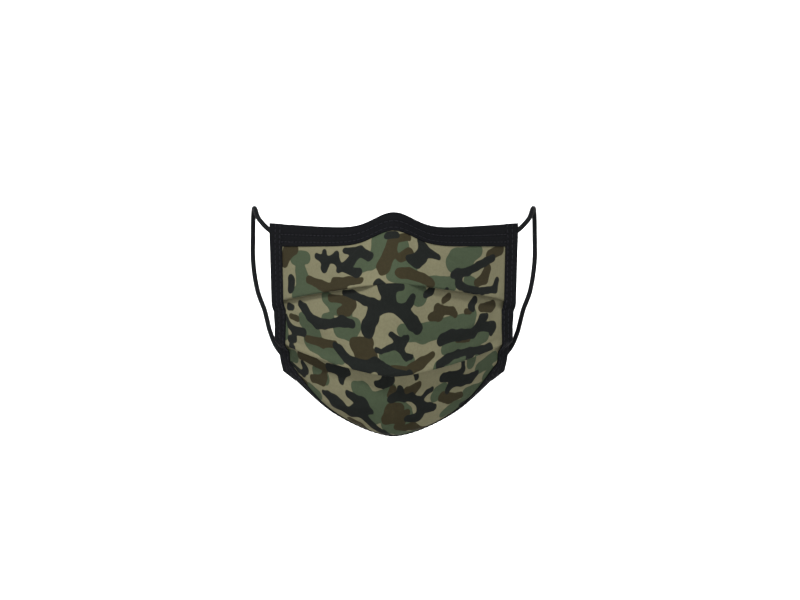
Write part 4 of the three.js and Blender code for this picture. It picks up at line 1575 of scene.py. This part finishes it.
@dataclass
class Binding:
    """A folded tape along one edge, with two lines of stitches that pull it in."""

    edge: Edge
    width: float
    nodes: tuple[str, ...]
    stitch_nodes: tuple[str, ...]
    bodies: tuple[Body, ...]
    thick: float = 0.5
    cloth: float = 0.8
    wire: float = 0.0  # height of the ridge that the nose wire makes
    fold: float = 1.6  # how far the tape's fold reaches in from the edge
    pleat_step: float = 1.8  # how far back each pleat sets the cloth at the sides
    stations: int = 300
    rows: tuple[float, ...] = (2.0, 6.0)  # from the raw edge to each line of stitches
    pitch: float = 3.0

    def reach(self) -> np.ndarray:
        """Where the tape's stations lie along its edge.

        Returns:
            t on the top and bottom edges, and h on the sides.
        """
        if self.edge is Edge.TOP:
            return np.linspace(-0.9, 0.9, self.stations)
        if self.edge is Edge.BOTTOM:
            return np.linspace(-0.92, 0.92, self.stations)
        return np.linspace(0.0, 1.0, self.stations)

    def front(self, along: np.ndarray) -> np.ndarray:
        """How far the cloth's outer face lies outside the face at the tape's edge.

        Args:
            along: Stations.

        Returns:
            Millimetres outward.
        """
        if self.edge is Edge.TOP:
            return np.zeros_like(along)
        if self.edge is Edge.BOTTOM:
            return -2 * self.pleat_step + chin_ease(np.full_like(along, 0.97), along)
        upper = smooth(along, UPPER_LIP + 0.005, UPPER_LIP + 0.07)
        lower = smooth(along, LOWER_LIP + 0.005, LOWER_LIP + 0.08)
        out = middle_ease(along) * (1 - lower) + chin_ease(along, 1)
        return out - self.pleat_step * (upper + lower)

    def back(self, along: np.ndarray) -> np.ndarray:
        """How far the innermost cloth lies outside the face at the tape's edge.

        Args:
            along: Stations.

        Returns:
            Millimetres outward, so below zero.
        """
        if self.edge is Edge.TOP:
            return np.full_like(along, -1.1)
        if self.edge is Edge.BOTTOM:
            return self.front(along) - self.cloth
        upper = smooth(along, UPPER_LIP - 0.22, UPPER_LIP - 0.14)
        lower = smooth(along, LOWER_LIP - 0.2, LOWER_LIP - 0.12)
        eased = middle_ease(along) * (1 - lower) + chin_ease(along, 1)
        return eased - self.cloth - self.pleat_step * (upper + lower)

    def profile(self) -> list[tuple[float, float, float]]:
        """The tape's section, round its outer face and back round its inner face.

        Returns:
            For each point (millimetres inward, 1 on the front or 0 on the back, millimetres out of the tape's inner
            face), or in the fold ("fold", angle, 1 on the outer face or 0 on the inner).
        """
        w, t = self.width, self.thick
        turn = [math.pi / 2 - math.pi * i / 8 for i in range(9)]
        flat = [w - 0.12] + list(np.linspace(w - 0.6, 2.0, 14))
        outside = [(e, 1.0, t) for e in flat]
        outside += [("fold", a, 1) for a in turn]
        outside += [(e, 0.0, t) for e in reversed(flat)]
        inside = [(w, 0.0, t * 0.7), (w, 0.0, t * 0.25), (w - 0.12, 0.0, 0.0)]
        inside += [(e, 0.0, 0.0) for e in (w / 2, 2.2)]
        inside += [("fold", a, 0) for a in reversed(turn[1:-1])]
        inside += [(e, 1.0, 0.0) for e in (2.2, w / 2, w - 0.12)]
        inside += [(w, 1.0, t * 0.25), (w, 1.0, t * 0.7)]
        return outside + inside

    def build(self) -> None:
        """Makes the tape and its stitches."""
        along = self.reach()
        front, back = self.front(along) + 0.06, self.back(along) - 0.06
        run = arc_length(FACE.beside(self.edge, along, np.full_like(along, 3.0), front))
        name = f"{self.edge.value}_binding_tape"
        lines = []
        for spot in self.profile():
            if spot[0] == "fold":
                _, angle, outer = spot
                tall = (front - back) / 2 + self.thick * outer
                inward = self.fold - (self.fold - self.thick * (1 - outer)) * math.cos(angle)
                n = (front + back) / 2 + tall * math.sin(angle)
            else:
                inward, on_front, out = spot
                pull = self.pull(inward, run)
                if on_front:
                    n = front + out - pull + self.ridge(inward, run, along)
                else:
                    n = back - out + pull * 0.7
            points = FACE.beside(self.edge, along, np.full_like(along, inward), n)
            lines.append(points)
        rings = np.stack(lines, 1)
        travel = arc_length(rings[0])
        uv = np.stack(np.broadcast_arrays(run[:, None], travel[None, :]), -1).reshape(-1, 2) * MM
        points = FACE.metres(rings.reshape(-1, 3))
        tape = make_object(name, points, loft_faces(len(along), rings.shape[1]), uv)
        dress(tape, TAPE)
        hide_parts(*self.nodes)
        self.hang(tape)
        self.sew(along, run, front)
        log.info("%s: %.0f mm long", name, run[-1])

    def pull(self, inward: float, run: np.ndarray) -> np.ndarray:
        """How far the stitches draw the tape in.

        Args:
            inward: Millimetres from the edge.
            run: Millimetres along the tape.

        Returns:
            Millimetres inward.
        """
        depth = np.zeros_like(run)
        for row in self.rows:
            near = math.exp(-(((self.width - row - inward) / 0.75) ** 2))
            depth += near * (0.16 + 0.05 * np.cos(2 * math.pi * run / self.pitch))
        return depth

    def ridge(self, inward: float, run: np.ndarray, along: np.ndarray) -> np.ndarray:
        """How far the nose wire pushes the tape out.

        Args:
            inward: Millimetres from the edge.
            run: Millimetres along the tape.
            along: Stations.

        Returns:
            Millimetres outward.
        """
        if not self.wire:
            return np.zeros_like(run)
        middle = np.interp(0, along, run)
        inside = smooth(np.abs(run - middle), 51, 48)
        return self.wire * inside * math.exp(-(((inward - 3.2) / 2.0) ** 4))

    def hang(self, obj: bpy.types.Object) -> None:
        """Puts a piece of the binding on its body; a piece that spans two bodies keeps its place and goes on neither.

        Args:
            obj: The piece.
        """
        if len(self.bodies) == 1:
            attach(obj, self.bodies[0].value)
            return
        ends = np.array([LOWER_LIP - 0.045, LOWER_LIP + 0.055])
        a, b = FACE.metres(FACE.beside(self.edge, ends, np.full(2, 3.0), np.zeros(2)))
        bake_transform(obj)

    def sew(self, along: np.ndarray, run: np.ndarray, front: np.ndarray) -> None:
        """Lays the lines of stitches on the tape.

        Args:
            along: The tape's stations.
            run: Millimetres along the tape at each.
            front: The cloth's outer face at each.
        """
        for number, row in enumerate(self.rows, 1):
            inward = np.full_like(along, self.width - row)
            n = front + self.thick - self.pull(self.width - row, run) + 0.12
            n = n + self.ridge(self.width - row, run, along)
            line = FACE.beside(self.edge, along, inward, n)
            above = FACE.beside(self.edge, along, inward, n + 1)
            keep = slice(3, -3)
            sewn = STITCHES.lay(
                f"{self.edge.value}_stitches_{number}",
                FACE.metres(line)[keep],
                (above - line)[keep],
                Pitch=self.pitch * MM,
            )
            self.hang(sewn)
            if number == 1:
                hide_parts(*self.stitch_nodes)


def bindings() -> list[Binding]:
    """The four bindings, each with the solids that it stands for.

    Returns:
        The top and bottom bindings, then the left and the right.
    """
    both = (Body.MASK, Body.CHIN)
    made = [
        Binding(Edge.TOP, 12, ("top_binding",), ("top_stitching",), (Body.MASK,), wire=0.35, stations=380),
        Binding(Edge.BOTTOM, 10, ("bottom_binding",), ("bottom_stitching",), (Body.CHIN,)),
    ]
    for side in Side:
        levels = ("upper", "lower")
        nodes = tuple(f"{side.word}_binding_{level}" for level in levels)
        sewn = tuple(f"{side.word}_stitching_{level}" for level in levels)
        made.append(Binding(side.edge, 12, nodes, sewn, both, stations=240))
    return made


def main() -> None:
    """Builds the mask round its frame, the cords first."""
    logging.basicConfig(level=logging.INFO, format="%(name)s: %(message)s")
    Studio().build()
    for side in Side:
        EarCord(side).build()
    PleatedCloth().build()
    for binding in bindings():
        binding.build()
    wire = frame["nodes"]["nose_wire"]
    wire.data.materials[0] = SoftAluminium().material()


if __name__ == "__main__":
    main()
